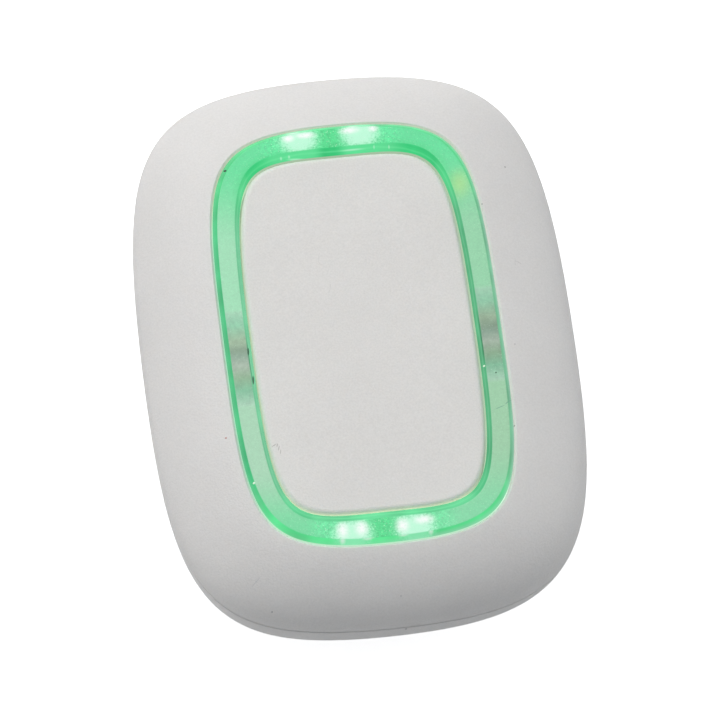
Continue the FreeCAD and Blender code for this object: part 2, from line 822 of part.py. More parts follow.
def cap_rounding_sections(body):
    """Outlines that draw in like a quarter of a circle from the cap's side to its top."""
    sections = []
    for index, share in enumerate(ROUNDING_TURNS):
        angle = math.radians(90 * share)
        shape = inset(cap_outline, size.cap_edge_radius * (1 - math.cos(angle)))
        height = cap_edge_foot + size.cap_edge_radius * math.sin(angle)
        sections.append(outline_sketch(body, f"cap_round_{index}", height, shape))
    return sections


def cap_dome_sections(body):
    """Outlines that shrink towards the cap's middle while they rise like a very flat dome."""
    rim = inset(cap_outline, size.cap_edge_radius)
    sections = []
    for index, share in enumerate(DOME_SHARES):
        shape = outline(rim.half_x * share, rim.half_y * share, rim.end_share, rim.side_share)
        height = cap_edge_foot + size.cap_edge_radius + size.cap_dome_rise * (1 - share**2)
        sections.append(outline_sketch(body, f"dome_{index}", height, shape))
    return sections


def make_key_membrane():
    body = new_body("key_membrane")
    sketch = outline_sketch(body, "sheet_section", frame_top, plate_outline)
    pad(body, "sheet", sketch, size.membrane_thickness)
    window = circle_sketch(body, "window", membrane_top, size.membrane_dome_radius)
    pocket(body, "window_cut", window, size.membrane_thickness)
    overlap = size.membrane_thickness / 2
    dome = [
        (size.membrane_dome_radius + overlap, frame_top),
        (size.membrane_dome_radius + overlap, frame_top + size.membrane_web),
        (size.membrane_dome_radius, frame_top + size.membrane_web),
        (size.membrane_pad_radius, stem_bottom - size.membrane_web),
        (size.membrane_pad_radius, stem_bottom),
        (0, stem_bottom),
        (0, switch_top),
        (size.membrane_pad_radius, switch_top),
        (size.membrane_pad_radius, stem_bottom - size.membrane_web * 2),
        (size.membrane_dome_radius - overlap, frame_top),
    ]
    turned(body, "dome", dome)
    pocket(body, "passage_cut", passage_sketch(body, membrane_top), size.membrane_thickness)


def make_inner_frame():
    body = new_body("inner_frame")
    sketch = outline_sketch(body, "plate_section", frame_bottom, plate_outline)
    pad(body, "plate", sketch, size.frame_thickness)
    ears = circle_sketch(body, "ear_circles", frame_bottom, size.ear_radius, boss_places)
    pad(body, "ears", ears, size.frame_thickness)
    ear_x, ear_y = boss_places[0]
    bridges = [rectangle(0, ear_y * side, ear_x * 2, size.ear_radius * 2) for side in SIDES]
    pad(body, "ear_bridges", rectangle_sketch(body, "bridges", frame_bottom, *bridges), size.frame_thickness)
    posts = circle_sketch(body, "post_circles", board_top, size.post_radius, post_places)
    pad(body, "posts", posts, frame_bottom + size.frame_thickness / 2 - board_top)
    key_hole = circle_sketch(body, "key_circle", frame_top, size.frame_hole_radius)
    pocket(body, "key_hole", key_hole, size.frame_thickness)
    holes = circle_sketch(body, "ear_holes", frame_top, clearance_radius, boss_places)
    pocket(body, "ear_hole_cut", holes, size.frame_thickness)
    pilots = circle_sketch(body, "post_pilots", board_top, pilot_radius, post_places)
    pocket(body, "post_pilot_cut", pilots, size.board_screw_bite + size.pilot_spare, upward=True)
    pocket(body, "passage_cut", passage_sketch(body, frame_top), size.frame_thickness)


def make_screws(label, places, seat, length):
    """Pan-head screws that point up, each with a slot in its head."""
    body = new_body(label)
    body.AllowCompound = True
    head_bottom = seat - size.screw_head_height
    heads = circle_sketch(body, "heads", head_bottom, size.screw_head_radius, places)
    pad(body, "head", heads, size.screw_head_height)
    pad(body, "shank", circle_sketch(body, "shanks", seat, size.screw_radius, places), length)
    slots = [rectangle(x, y, size.screw_head_radius * 3, size.screw_slot_width) for x, y in places]
    slot_sketch = rectangle_sketch(body, "slots", head_bottom, *slots)
    pocket(body, "slot", slot_sketch, size.screw_slot_depth, upward=True)


# Board and what it carries.
def make_circuit_board():
    body = new_body("circuit_board")
    pad(body, "board", outline_sketch(body, "board_section", board_bottom, board_edge), size.board_thickness)
    holes = circle_sketch(body, "screw_holes", board_top, clearance_radius, post_places)
    pocket(body, "screw_hole_cut", holes, size.board_thickness)


def make_switch():
    base_top = board_top + size.switch_base_height
    base = new_body("switch_base")
    square = rectangle(0, 0, size.switch_width, size.switch_width)
    pad(base, "block", rectangle_sketch(base, "block_section", board_top, square), size.switch_base_height)
    well = circle_sketch(base, "well_circle", base_top, size.switch_well_radius)
    pocket(base, "well", well, size.switch_base_height - size.switch_floor)

    cover = new_body("switch_cover")
    plate = rectangle(0, 0, size.switch_width + size.switch_plate * 2, size.switch_width)
    pad(cover, "plate", rectangle_sketch(cover, "plate_section", base_top, plate), size.switch_plate)
    hole_radius = size.plunger_radius + size.plunger_gap
    hole = circle_sketch(cover, "hole_circle", base_top + size.switch_plate, hole_radius)
    pocket(cover, "hole", hole, size.switch_plate)
    tab_x = size.switch_width / 2 + size.switch_plate / 2
    tabs = [rectangle(tab_x * side, 0, size.switch_plate, size.switch_tab_width) for side in SIDES]
    tab_sketch = rectangle_sketch(cover, "tab_sections", base_top - size.switch_tab_drop, *tabs)
    pad(cover, "tabs", tab_sketch, size.switch_tab_drop + size.switch_plate)

    floor = board_top + size.switch_floor
    dome_top = floor + size.dome_rise
    dome = new_body("switch_dome")
    turned(
        dome,
        "snap_dome",
        [
            (0, dome_top),
            (size.dome_radius / 2, dome_top - size.dome_rise / 4),
            (size.dome_radius, floor + size.dome_plate),
            (size.dome_radius, floor),
            (size.dome_radius / 2, dome_top - size.dome_rise / 4 - size.dome_plate * 1.5),
            (0, dome_top - size.dome_plate),
        ],
    )

    collar_bottom = dome_top + size.plunger_nub_height
    collar_top = base_top - size.plunger_gap
    plunger = new_body("switch_plunger")
    turned(
        plunger,
        "plunger",
        [
            (0, dome_top),
            (size.plunger_nub_radius, dome_top),
            (size.plunger_nub_radius, collar_bottom),
            (size.plunger_collar_radius, collar_bottom),
            (size.plunger_collar_radius, collar_top),
            (size.plunger_radius, collar_top),
            (size.plunger_radius, switch_top),
            (0, switch_top),
        ],
    )


def make_leds():
    for index, (x, y) in enumerate(pipe_places, start=1):
        body = new_body(f"led_{index}")
        package = rectangle(0, 0, size.led_length, size.led_width)
        pad(body, "package", rectangle_sketch(body, "package_section", 0.0, package), size.led_height)
        well = circle_sketch(body, "well_circle", size.led_height, size.led_well_radius)
        pocket(body, "well", well, size.led_well_depth)
        place(body, x, y, board_top)


def make_chips():
    chip = new_body("microcontroller")
    square = rectangle(0, 0, size.chip_size, size.chip_size)
    pad(chip, "package", rectangle_sketch(chip, "package_section", 0.0, square), size.chip_height)
    mark_at = size.chip_size / 2 - size.chip_mark_radius * 2
    mark = circle_sketch(chip, "mark", size.chip_height, size.chip_mark_radius, ((-mark_at, mark_at),))
    pocket(chip, "corner_mark", mark, size.chip_mark_depth)
    chip_x = size.chip_setback + size.chip_size / 2 - board_edge.half_x
    place(chip, chip_x, post_places[0][1] - size.chip_setback_y, board_top)

    crystal = new_body("crystal")
    rims = size.shield_sheet * 2
    foot = rectangle(0, 0, size.crystal_length, size.crystal_width)
    lid = rectangle(0, 0, size.crystal_length - rims, size.crystal_width - rims)
    pad(crystal, "base", rectangle_sketch(crystal, "base_section", 0.0, foot), size.crystal_height / 2)
    pad(crystal, "lid", rectangle_sketch(crystal, "lid_section", 0.0, lid), size.crystal_height)
    crystal_x = size.crystal_setback + size.crystal_length / 2 - board_edge.half_x
    place(crystal, crystal_x, post_places[0][1] - size.crystal_setback_y, board_top)


def make_radio_shield():
    shield = new_body("radio_shield")
    outside = rectangle(0, 0, size.shield_length, size.shield_width)
    sheets = size.shield_sheet * 2
    inside = rectangle(0, 0, size.shield_length - sheets, size.shield_width - sheets)
    pad(shield, "can", rectangle_sketch(shield, "can_section", 0.0, outside), size.shield_height)
    hollow = rectangle_sketch(shield, "hollow_section", 0.0, inside)
    pocket(shield, "hollow", hollow, size.shield_height - size.shield_sheet, upward=True)
    pitch = size.shield_vent_pitch
    vents = [(pitch * column, pitch * rank) for column in SHIELD_VENT_COLUMNS for rank in SHIELD_VENT_ROWS]
    vent_sketch = circle_sketch(shield, "vents", size.shield_height, size.shield_vent_radius, vents)
    pocket(shield, "vent_cut", vent_sketch, size.shield_sheet)
    shield_x = size.shield_setback + size.shield_length / 2 - board_edge.half_x
    place(shield, shield_x, size.shield_setback_y - post_places[0][1], board_top)


def make_capacitors():
    blocks = []
    post_x, post_y = post_places[0]
    for column in CAPACITOR_COLUMNS:
        for rank in CAPACITOR_ROWS:
            block = doc.addObject("Part::Box", f"capacitor_{column}_{rank}")
            bind(block, "Length", size.capacitor_length)
            bind(block, "Width", size.capacitor_width)
            bind(block, "Height", size.capacitor_width)
            x = post_x - size.capacitor_setback_x + size.capacitor_pitch_x * column
            y = post_y - size.capacitor_setback_y + size.capacitor_pitch_y * rank
            place(block, x, y, board_top)
            blocks.append(block)
    group = doc.addObject("Part::Compound", "chip_capacitors")
    group.Links = blocks
    keep(group, "chip_capacitors")


def make_antenna():
    """A strip that stands on the board on its two ends, drawn as its left and its right edge."""
    body = new_body("antenna_strip")
    half = size.antenna_width / 2
    ends = (ANTENNA_RUNS[0], ANTENNA_RUNS[-1])
    left, right = [], []
    for index in ANTENNA_RUNS:
        y = size.antenna_pitch * (index - ends[1] / 2)
        outer_foot = 0 if index in ends else size.antenna_foot
        inner_foot = 0 if index in ends else size.antenna_foot + size.antenna_width
        goes_up = index % 2 == 0
        side = -half if goes_up else half
        left_run = [(y + side, inner_foot), (y + side, size.antenna_height)]
        right_run = [(y - side, outer_foot), (y - side, size.antenna_height - size.antenna_width)]
        left += left_run if goes_up else left_run[::-1]
        right += right_run if goes_up else right_run[::-1]
    section = path_sketch(body, "strip_section", left + right[::-1], plane="YZ_Plane")
    pad(body, "strip", section, size.antenna_thickness, centred=True)
    place(body, board_edge.half_x - size.antenna_setback, 0, board_top)


def make_battery():
    cell = new_body("coin_cell")
    shoulder = cell_top - size.cell_lid_step
    turned(
        cell,
        "can",
        [
            (0, cell_bottom),
            (size.cell_radius - size.cell_edge, cell_bottom),
            (size.cell_radius, cell_bottom + size.cell_edge),
            (size.cell_radius, shoulder - size.cell_edge / 2),
            (size.cell_radius - size.cell_edge, shoulder),
            (size.cell_lid_radius, shoulder),
            (size.cell_lid_radius, cell_top),
            (0, cell_top),
        ],
    )
    place(cell, 0, size.cell_y, 0)

    foam = new_body("battery_pad")
    disc = circle_sketch(foam, "foam_circle", size.cover_wall, size.pad_radius)
    pad(foam, "foam", disc, size.pad_thickness)
    place(foam, 0, size.cell_y, 0)


def make_battery_holder():
    holder = new_body("battery_holder")
    inner = size.cell_radius + size.holder_gap
    outer = inner + size.holder_wall
    turned(
        holder,
        "tray",
        [
            (size.holder_hole_radius, board_bottom),
            (outer, board_bottom),
            (outer, holder_rim),
            (inner, holder_rim),
            (inner, cell_top),
            (size.holder_hole_radius, cell_top),
        ],
    )
    mouth = rectangle(0, -outer, size.holder_mouth, outer)
    pocket(holder, "mouth", rectangle_sketch(holder, "mouth_section", cell_top, mouth), size.holder_reach)
    slit_width = size.side_contact_width + size.holder_gap * 2
    slit = rectangle(inner + size.holder_wall / 2, 0, size.holder_wall * 2, slit_width)
    slit_sketch = rectangle_sketch(holder, "slit_section", board_bottom, slit)
    pocket(holder, "contact_slit", slit_sketch, board_bottom - holder_rim)
    place(holder, 0, size.cell_y, 0)

    leaf = new_body("battery_contact_negative")
    sheet_metal = size.contact_thickness
    half = size.holder_hole_radius - size.holder_gap
    run = [
        (-half, board_bottom),
        (-half, board_bottom - sheet_metal),
        (-half / 2, board_bottom - sheet_metal),
        (0, cell_top),
        (half / 2, cell_top + sheet_metal),
        (half / 2, cell_top + sheet_metal * 2),
        (0, cell_top + sheet_metal),
        (-half / 2, board_bottom),
    ]
    pad(leaf, "leaf", path_sketch(leaf, "leaf_section", run), size.contact_width, centred=True)
    place(leaf, 0, size.cell_y, 0)

    strap = new_body("battery_contact_positive")
    near = size.cell_radius + size.contact_gap
    far = board_edge.half_x - size.contact_setback
    foot = holder_rim + size.contact_gap
    run = [
        (near, foot),
        (near, board_bottom),
        (far, board_bottom),
        (far, board_bottom - sheet_metal),
        (near + sheet_metal, board_bottom - sheet_metal),
        (near + sheet_metal, foot),
    ]
    pad(strap, "strap", path_sketch(strap, "strap_section", run), size.side_contact_width, centred=True)
    place(strap, 0, size.cell_y, 0)


def check_and_write():
    """Stops on any failed object, then writes one file for each sub-part."""
    doc.recompute()
    failed = [item.Label for item in doc.Objects if {"Invalid", "Error"} & set(item.State)]
    failed += [item.Label for item in subparts if item.Shape.isNull() or not item.Shape.isValid()]
    if failed:
        raise RuntimeError(f"these objects failed: {failed}")
    os.makedirs("parts", exist_ok=True)
    for item in subparts:
        item.Shape.exportStep(f"parts/{item.Label}.step")


make_rear_cover()
make_front_cover()
make_housing_seal()
make_light_ring()
make_button_cap()
make_key_membrane()
make_inner_frame()
make_screws("frame_screws", boss_places, frame_bottom, size.frame_thickness + size.frame_screw_bite)
make_circuit_board()
make_screws("board_screws", post_places, board_bottom, size.board_thickness + size.board_screw_bite)
make_switch()
make_leds()
make_chips()
make_radio_shield()
make_capacitors()
make_antenna()
make_battery()
make_battery_holder()
check_and_write()
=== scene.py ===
import json
import math

import bmesh
import bpy
from mathutils import Matrix, Vector


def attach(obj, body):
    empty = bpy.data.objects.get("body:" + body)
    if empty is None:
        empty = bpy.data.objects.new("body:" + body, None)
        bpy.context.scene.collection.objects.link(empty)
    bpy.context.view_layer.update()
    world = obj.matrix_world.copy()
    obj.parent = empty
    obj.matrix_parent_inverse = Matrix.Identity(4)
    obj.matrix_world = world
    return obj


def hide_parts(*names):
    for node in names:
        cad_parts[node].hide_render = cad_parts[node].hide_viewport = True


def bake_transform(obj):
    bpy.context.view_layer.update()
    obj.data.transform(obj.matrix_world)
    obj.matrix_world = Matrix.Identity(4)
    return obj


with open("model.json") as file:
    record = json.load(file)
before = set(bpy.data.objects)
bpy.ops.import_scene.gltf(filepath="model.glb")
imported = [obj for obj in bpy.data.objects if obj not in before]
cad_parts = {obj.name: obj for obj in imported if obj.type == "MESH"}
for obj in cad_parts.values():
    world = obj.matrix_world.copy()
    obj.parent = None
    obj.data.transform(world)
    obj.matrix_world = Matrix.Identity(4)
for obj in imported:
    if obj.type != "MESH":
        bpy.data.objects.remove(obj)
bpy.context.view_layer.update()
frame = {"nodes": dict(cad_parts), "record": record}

# Wireless panic button: a white pebble of two moulded covers that lies on its back on a white
# sheet, with a lit green ring and a large oval button cap in its face. Sizes in this script are
# millimetres in the part's own frame, and meshes are made in metres.
MM = 0.001
PER_METRE = 1000.0
nodes = frame["nodes"]

# Heights of the part above its back.
BEAD, OPENING, RING_LIP, LEDGE, MEMBRANE = 16.0, 15.58, 14.30, 14.08, 13.0
PIPE_FOOT, LATCH_FOOT, FRAME_SEAT, BOARD_TOP, BOARD_SEAT, SEAL_FLOOR = 8.25, 10.95, 11.5, 7.2, 6.2, 9.0
SEAL_HEIGHT = 0.48
# Outlines as half width, half length, end share and side share of their four cubic curves.
BODY_OUTLINE = (17.5, 23.5, 0.867, 0.829)
OPENING_OUTLINE = (11.18, 17.8, 0.975, 0.85)
CAP_OUTLINE = (8.92, 15.1, 0.905, 1.03)
LAMP_PLACES = ((2.6, 16.8), (-2.6, 16.8), (-2.6, -16.8), (2.6, -16.8))
# The ring's light pipes reach down to the lamps, and its two latches end in a hook.
PIPE_HALF_X, PIPE_HALF_Y = 1.7, 0.95
CHAMBER_GAP, LATCH_GAP, LATCH_THICKNESS = 0.75, 0.6, 1.2
LATCH_Y, LATCH_HALF_Y, HOOK_REACH, HOOK_HEIGHT = -1.3, 3.4, 0.45, 0.45
# The posts that the board is screwed to, the spacing of its traces and the middle of the cell.
POST_X, POST_Y = 10.0, 12.6
TRACE_SPACING = 0.9
CELL_Y = -2.0
# Each kind of screw with its place in one quarter, the height of its seat and its length.
SCREWS = [
    ("frame_screws", (13.33, 8.5), FRAME_SEAT, 2.5),
    ("board_screws", (POST_X, POST_Y), BOARD_SEAT, 3.2),
]
# Middle of the first chip capacitor and the steps to the next column and row.
CAPACITOR_X, CAPACITOR_Y = POST_X - 4.8 + 0.8, POST_Y - 8.2 + 0.4
COLUMN_STEP, ROW_STEP = 2.4, 1.7


def new_object(name, data):
    """An object of the scene that carries a mesh, a light or a camera."""
    item = bpy.data.objects.new(name, data)
    bpy.context.scene.collection.objects.link(item)
    return item


def linear(red, green, blue):
    """A colour given as 0 to 255 in a picture, as the light values that a shader takes."""
    shares = [value / 255 for value in (red, green, blue)]
    light = [share / 12.92 if share <= 0.04045 else ((share + 0.055) / 1.055) ** 2.4 for share in shares]
    return (*light, 1.0)


def inset(outline, distance_x, distance_y=None):
    """The same outline drawn in by a distance, or let out by a negative one."""
    distance_y = distance_x if distance_y is None else distance_y
    return (outline[0] - distance_x, outline[1] - distance_y, *outline[2:])


# Node trees, written as arithmetic on their values.
class Signal:
    """One output of a node, which takes part in sums and products."""

    def __init__(self, net, socket):
        self.net, self.socket = net, socket

    def __add__(self, other):
        return self.net.math("ADD", self, other)

    def __sub__(self, other):
        return self.net.math("SUBTRACT", self, other)

    def __mul__(self, other):
        return self.net.math("MULTIPLY", self, other)

    def __truediv__(self, other):
        return self.net.math("DIVIDE", self, other)

    def __radd__(self, other):
        return self.net.math("ADD", other, self)

    def __rsub__(self, other):
        return self.net.math("SUBTRACT", other, self)

    def __rmul__(self, other):
        return self.net.math("MULTIPLY", other, self)

    def power(self, other):
        return self.net.math("POWER", self, other)

    def size(self):
        return self.net.math("ABSOLUTE", self)

    def rises(self, low, high):
        """0 up to low and 1 from high, smooth between."""
        item = self.net.add("ShaderNodeMapRange", interpolation_type="SMOOTHSTEP")
        for index, value in enumerate((self, low, high)):
            self.net.feed(item.inputs[index], value)
        return Signal(self.net, item.outputs[0])

    def falls(self, low, high):
        return 1.0 - self.rises(low, high)


class Net:
    """Adds nodes to a tree and links them."""

    def __init__(self, tree):
        self.tree = tree

    def feed(self, socket, value):
        if isinstance(value, Signal):
            self.tree.links.new(value.socket, socket)
        else:
            socket.default_value = value

    def add(self, kind, inputs=None, **settings):
        item = self.tree.nodes.new(kind)
        for key, value in settings.items():
            setattr(item, key, value)
        self.dress(item, inputs or {})
        return item

    def dress(self, item, values):
        """Sets or links a node's inputs by name."""
        for name, value in values.items():
            self.feed(item.inputs[name], value)

    def out(self, item, name=0):
        return Signal(self, item.outputs[name])

    def math(self, operation, *values):
        item = self.add("ShaderNodeMath", operation=operation)
        for socket, value in zip(item.inputs, values):
            self.feed(socket, value)
        return self.out(item)

    def vector(self, operation, *values, output=0):
        item = self.add("ShaderNodeVectorMath", operation=operation)
        for socket, value in zip(item.inputs, values):
            self.feed(socket, value)
        return self.out(item, output)

    def combine(self, x, y, z=0.0):
        return self.out(self.add("ShaderNodeCombineXYZ", {"X": x, "Y": y, "Z": z}))

    def separate(self, vector):
        item = self.add("ShaderNodeSeparateXYZ", {"Vector": vector})
        return [self.out(item, index) for index in range(3)]

    def mix(self, share, first, second):
        """A colour that goes from the first to the second with the share."""
        item = self.add("ShaderNodeMix", data_type="RGBA")
        for index, value in zip((0, 6, 7), (share, first, second)):
            self.feed(item.inputs[index], value)
        return self.out(item, 2)

    def scaled(self, vector, factor):
        """A place times a factor, or a colour made lighter or darker."""
        return self.vector("SCALE", vector, (0, 0, 0), (0, 0, 0), factor)

    def millimetres(self, place):
        """The three parts of a place, in millimetres."""
        return self.separate(self.scaled(place, PER_METRE))

    def turned(self, place, angle):
        """A place turned about Z."""
        values = {"Vector": place, "Angle": angle}
        return self.out(self.add("ShaderNodeVectorRotate", values, rotation_type="Z_AXIS"))

    def radius(self, x, y):
        """The distance from the middle of a plane."""
        return self.math("SQRT", x.power(2.0) + y.power(2.0))

    def noise(self, vector, scale, detail=2.0, roughness=0.5):
        values = {"Vector": vector, "Scale": scale, "Detail": detail, "Roughness": roughness}
        return self.out(self.add("ShaderNodeTexNoise", values), "Fac")

    def cells(self, vector, scale):
        """The distance from the nearest cell's middle, and a chance of each cell's own."""
        item = self.add("ShaderNodeTexVoronoi", {"Vector": vector, "Scale": scale})
        return self.out(item, "Distance"), self.separate(self.out(item, "Color"))[0]

    def ramp(self, share, stops):
        """Colours at shares from 0 to 1."""
        item = self.add("ShaderNodeValToRGB", {"Fac": share})
        band = item.color_ramp
        for position, _ in stops[1:-1]:
            band.elements.new(position)
        for element, (_, colour) in zip(band.elements, stops):
            element.color = colour
        return self.out(item)

    def place(self):
        """The point of the surface in the part's frame, in metres."""
        return self.out(self.add("ShaderNodeTexCoord"), "Object")

    def bump(self, height, strength, distance):
        values = {"Height": height, "Strength": strength, "Distance": distance * MM}
        return self.out(self.add("ShaderNodeBump", values), "Normal")

    def group(self, tree, inputs):
        """Places a group and returns its outputs by name."""
        item = self.add("ShaderNodeGroup", node_tree=tree)
        self.dress(item, inputs)
        return {socket.name: Signal(self, socket) for socket in item.outputs}


# Kinds of sockets.
VECTOR, NUMBER, COUNT = "NodeSocketVector", "NodeSocketFloat", "NodeSocketInt"
GEOMETRY, PAINT = "NodeSocketGeometry", "NodeSocketMaterial"


def new_group(name, inputs, outputs, kind="ShaderNodeTree"):
    """A node group with named inputs and outputs. Returns its net, its inputs and its output node.

    An input is given as its start value, or as its kind where it has none.
    """
    tree = bpy.data.node_groups.new(name, kind)
    for label, start in inputs.items():
        if isinstance(start, str):
            tree.interface.new_socket(name=label, in_out="INPUT", socket_type=start)
        else:
            socket_kind = COUNT if isinstance(start, int) else NUMBER
            socket = tree.interface.new_socket(name=label, in_out="INPUT", socket_type=socket_kind)
            socket.default_value = start
    for label, socket_kind in outputs.items():
        tree.interface.new_socket(name=label, in_out="OUTPUT", socket_type=socket_kind)
    net = Net(tree)
    entry, end = net.add("NodeGroupInput"), net.add("NodeGroupOutput")
    return net, {label: net.out(entry, label) for label in inputs}, end


# Surface effects that several materials share.
def make_moulded_surface():
    """Fine moulded grain with slow drifts of tone and shine."""
    net, given, end = new_group(
        "moulded_surface",
        {"Place": VECTOR, "Grain": 0.16, "Drift": 6.0},
        {"Height": NUMBER, "Tone": NUMBER, "Shine": NUMBER},
    )
    per_grain = net.math("DIVIDE", 1.0, given["Grain"] * MM)
    per_drift = net.math("DIVIDE", 1.0, given["Drift"] * MM)
    fine = net.noise(given["Place"], per_grain, 2.0, 0.6)
    coarse = net.noise(given["Place"], per_grain * 0.32, 2.0, 0.5)
    drift = net.noise(given["Place"], per_drift, 3.0, 0.55)
    net.feed(end.inputs["Height"], fine * 0.7 + coarse * 0.3)
    net.feed(end.inputs["Tone"], drift * 0.3 + fine * 0.7)
    net.feed(end.inputs["Shine"], drift * 0.5 + coarse * 0.5)
    return net.tree


def make_dust():
    """Sparse small specks and a few short fibres that cling to a surface."""
    net, given, end = new_group(
        "clinging_dust",
        {"Place": VECTOR, "Spacing": 2.6, "Share": 0.3},
        {"Specks": NUMBER, "Fibres": NUMBER},
    )
    distance, chance = net.cells(given["Place"], net.math("DIVIDE", 1.0, given["Spacing"] * MM))
    reach = chance * 0.022 + 0.006
    speck = net.math("LESS_THAN", distance, reach) * net.math("LESS_THAN", chance, given["Share"])
    wander = net.combine(net.noise(given["Place"], 700.0), net.noise(given["Place"], 640.0))
    warped = net.vector("ADD", given["Place"], net.scaled(wander, 1.6 * MM))
    line = net.add("ShaderNodeTexVoronoi", {"Vector": warped, "Scale": 90.0}, feature="DISTANCE_TO_EDGE")
    gate = net.noise(given["Place"], 260.0, 1.0).rises(0.70, 0.72)
    net.feed(end.inputs["Specks"], speck)
    net.feed(end.inputs["Fibres"], net.out(line).falls(0.0, 0.0035) * gate)
    return net.tree


def make_spot():
    """A soft round or long mark at one place of a surface, in millimetres."""
    net, given, end = new_group(
        "round_mark",
        {"Place": VECTOR, "Centre": VECTOR, "Reach": VECTOR, "Turn": 0.0, "Core": 0.55},
        {"Mark": NUMBER},
    )
    away = net.vector("SUBTRACT", net.scaled(given["Place"], PER_METRE), given["Centre"])
    reached = net.vector("DIVIDE", net.turned(away, given["Turn"]), given["Reach"])
    share = net.vector("LENGTH", reached, output="Value")
    net.feed(end.inputs["Mark"], share.falls(given["Core"], 1.0))
    return net.tree


def make_rolled_metal():
    """Rolling lines, faint scratches and slow stains of sheet metal."""
    net, given, end = new_group(
        "rolled_metal",
        {"Place": VECTOR, "Line": 0.05, "Stain": 2.0},
        {"Height": NUMBER, "Tone": NUMBER, "Shine": NUMBER},
    )
    stretched = net.vector("MULTIPLY", given["Place"], (0.06, 1.0, 0.6))
    lines = net.noise(stretched, net.math("DIVIDE", 1.0, given["Line"] * MM), 3.0, 0.6)
    stain = net.noise(given["Place"], net.math("DIVIDE", 1.0, given["Stain"] * MM), 3.0, 0.6)
    net.feed(end.inputs["Height"], lines)
    net.feed(end.inputs["Tone"], lines * 0.4 + stain * 0.6)
    net.feed(end.inputs["Shine"], lines * 0.5 + stain * 0.5)
    return net.tree


MOULDED = make_moulded_surface()
DUST = make_dust()
SPOT = make_spot()
ROLLED = make_rolled_metal()


def new_material(name):
    """A material with the net of its tree and its Principled shader."""
    material = bpy.data.materials.new(name)
    material.use_nodes = True
    tree = material.node_tree
    return material, Net(tree), tree.nodes["Principled BSDF"]


def marks(net, place, base, spots):
    """Paints marks of given centre, reach, turn and colour over a base colour."""
    for centre, reach, turn, colour in spots:
        values = {"Place": place, "Centre": centre, "Reach": reach, "Turn": turn}
        base = net.mix(net.group(SPOT, values)["Mark"], base, colour)
    return base


def moulded_material(name, colour, rough, grain, depth, contrast, spots=(), dust=0.0, milky=0.0):
    """Moulded plastic with grain, drifting tone and shine, and what clings to it."""
    material, net, shader = new_material(name)
    place = net.place()
    surface = net.group(MOULDED, {"Place": place, "Grain": grain, "Drift": 6.0})
    shade = (surface["Tone"] - 0.5) * contrast + 1.0
    base = net.scaled(linear(*colour)[:3], shade)
    if dust:
        cling = net.group(DUST, {"Place": place, "Spacing": 2.6, "Share": dust})
        base = net.mix(cling["Specks"] * 0.5, base, linear(150, 146, 142))
        base = net.mix(cling["Fibres"] * 0.3, base, linear(168, 166, 164))
    base = marks(net, place, base, spots)
    net.dress(shader, {
        "Base Color": base,
        "Roughness": (surface["Shine"] - 0.5) * 0.16 + rough,
        "Normal": net.bump(surface["Height"], 1.0, depth),
        "Subsurface Weight": milky,
        "Subsurface Radius": (0.5 * MM, 0.45 * MM, 0.4 * MM),
        "Subsurface Scale": 1.0,
    })
    return material


def metal_material(name, colour, rough, line, depth, contrast):
    """Sheet metal with rolling lines and stains."""
    material, net, shader = new_material(name)
    surface = net.group(ROLLED, {"Place": net.place(), "Line": line, "Stain": 2.0})
    net.dress(shader, {
        "Base Color": net.scaled(linear(*colour)[:3], (surface["Tone"] - 0.5) * contrast + 1.0),
        "Roughness": (surface["Shine"] - 0.5) * 0.25 + rough,
        "Normal": net.bump(surface["Height"], 0.6, depth),
        "Metallic": 1.0,
    })
    return material


# Materials of the outside.
SHELL_MARKS = [
    ((13.5, 13.21, 14.5), (0.09, 0.08, 3), 0.0, linear(176, 174, 172)),
    ((11.05, 9.84, 15.5), (0.08, 0.08, 3), 0.0, linear(184, 182, 180)),
    ((-11.93, -7.69, 15.4), (0.10, 0.09, 3), 0.0, linear(200, 150, 142)),
    ((0.71, -23.45, 10.6), (0.12, 0.3, 0.12), 0.0, linear(84, 84, 84)),
    ((0.29, -21.73, 13.9), (0.08, 0.08, 3), 0.0, linear(204, 203, 203)),
    ((-10.94, -19.38, 14.0), (0.05, 0.6, 3), 0.9, linear(216, 215, 215)),
    ((-9.88, -21.6, 12.9), (0.07, 0.07, 3), 0.0, linear(176, 176, 176)),
    ((12.02, -2.3, 15.4), (0.07, 0.07, 3), 0.0, linear(194, 192, 192)),
    ((11.0, -9.15, 15.4), (0.07, 0.07, 3), 0.0, linear(150, 160, 156)),
]
CAP_MARKS = [
    ((-8.24, -8.80, 15.7), (0.30, 0.042, 3), -0.50, linear(196, 194, 190)),
    ((-8.00, -8.82, 15.7), (0.05, 0.20, 3), 0.35, linear(196, 194, 190)),
    ((-7.90, -9.08, 15.7), (0.045, 0.26, 3), 0.32, linear(196, 194, 190)),
    ((-7.81, -9.40, 15.7), (0.04, 0.24, 3), 0.22, linear(200, 198, 194)),
]
RING_MARKS = [
    ((-9.25, 14.73, 15.8), (0.16, 0.13, 3), 0.6, linear(14, 60, 34)),
    ((10.08, -4.74, 16.0), (0.09, 0.09, 3), 0.0, linear(70, 110, 84)),
    ((10.0, -7.66, 16.0), (0.5, 0.035, 3), -0.3, linear(112, 168, 140)),
    ((10.72, -7.26, 15.9), (0.45, 0.035, 3), -0.65, linear(104, 158, 132)),
    ((-10.24, -11.83, 15.9), (0.11, 0.11, 3), 0.0, linear(226, 248, 226)),
    ((9.23, -4.04, 15.9), (0.10, 0.10, 3), 0.0, linear(222, 246, 220)),
    ((-9.32, -0.85, 15.8), (0.10, 0.42, 3), 0.1, linear(34, 92, 62)),
    ((-9.22, -3.25, 15.8), (0.09, 0.48, 3), 0.1, linear(40, 100, 70)),
]
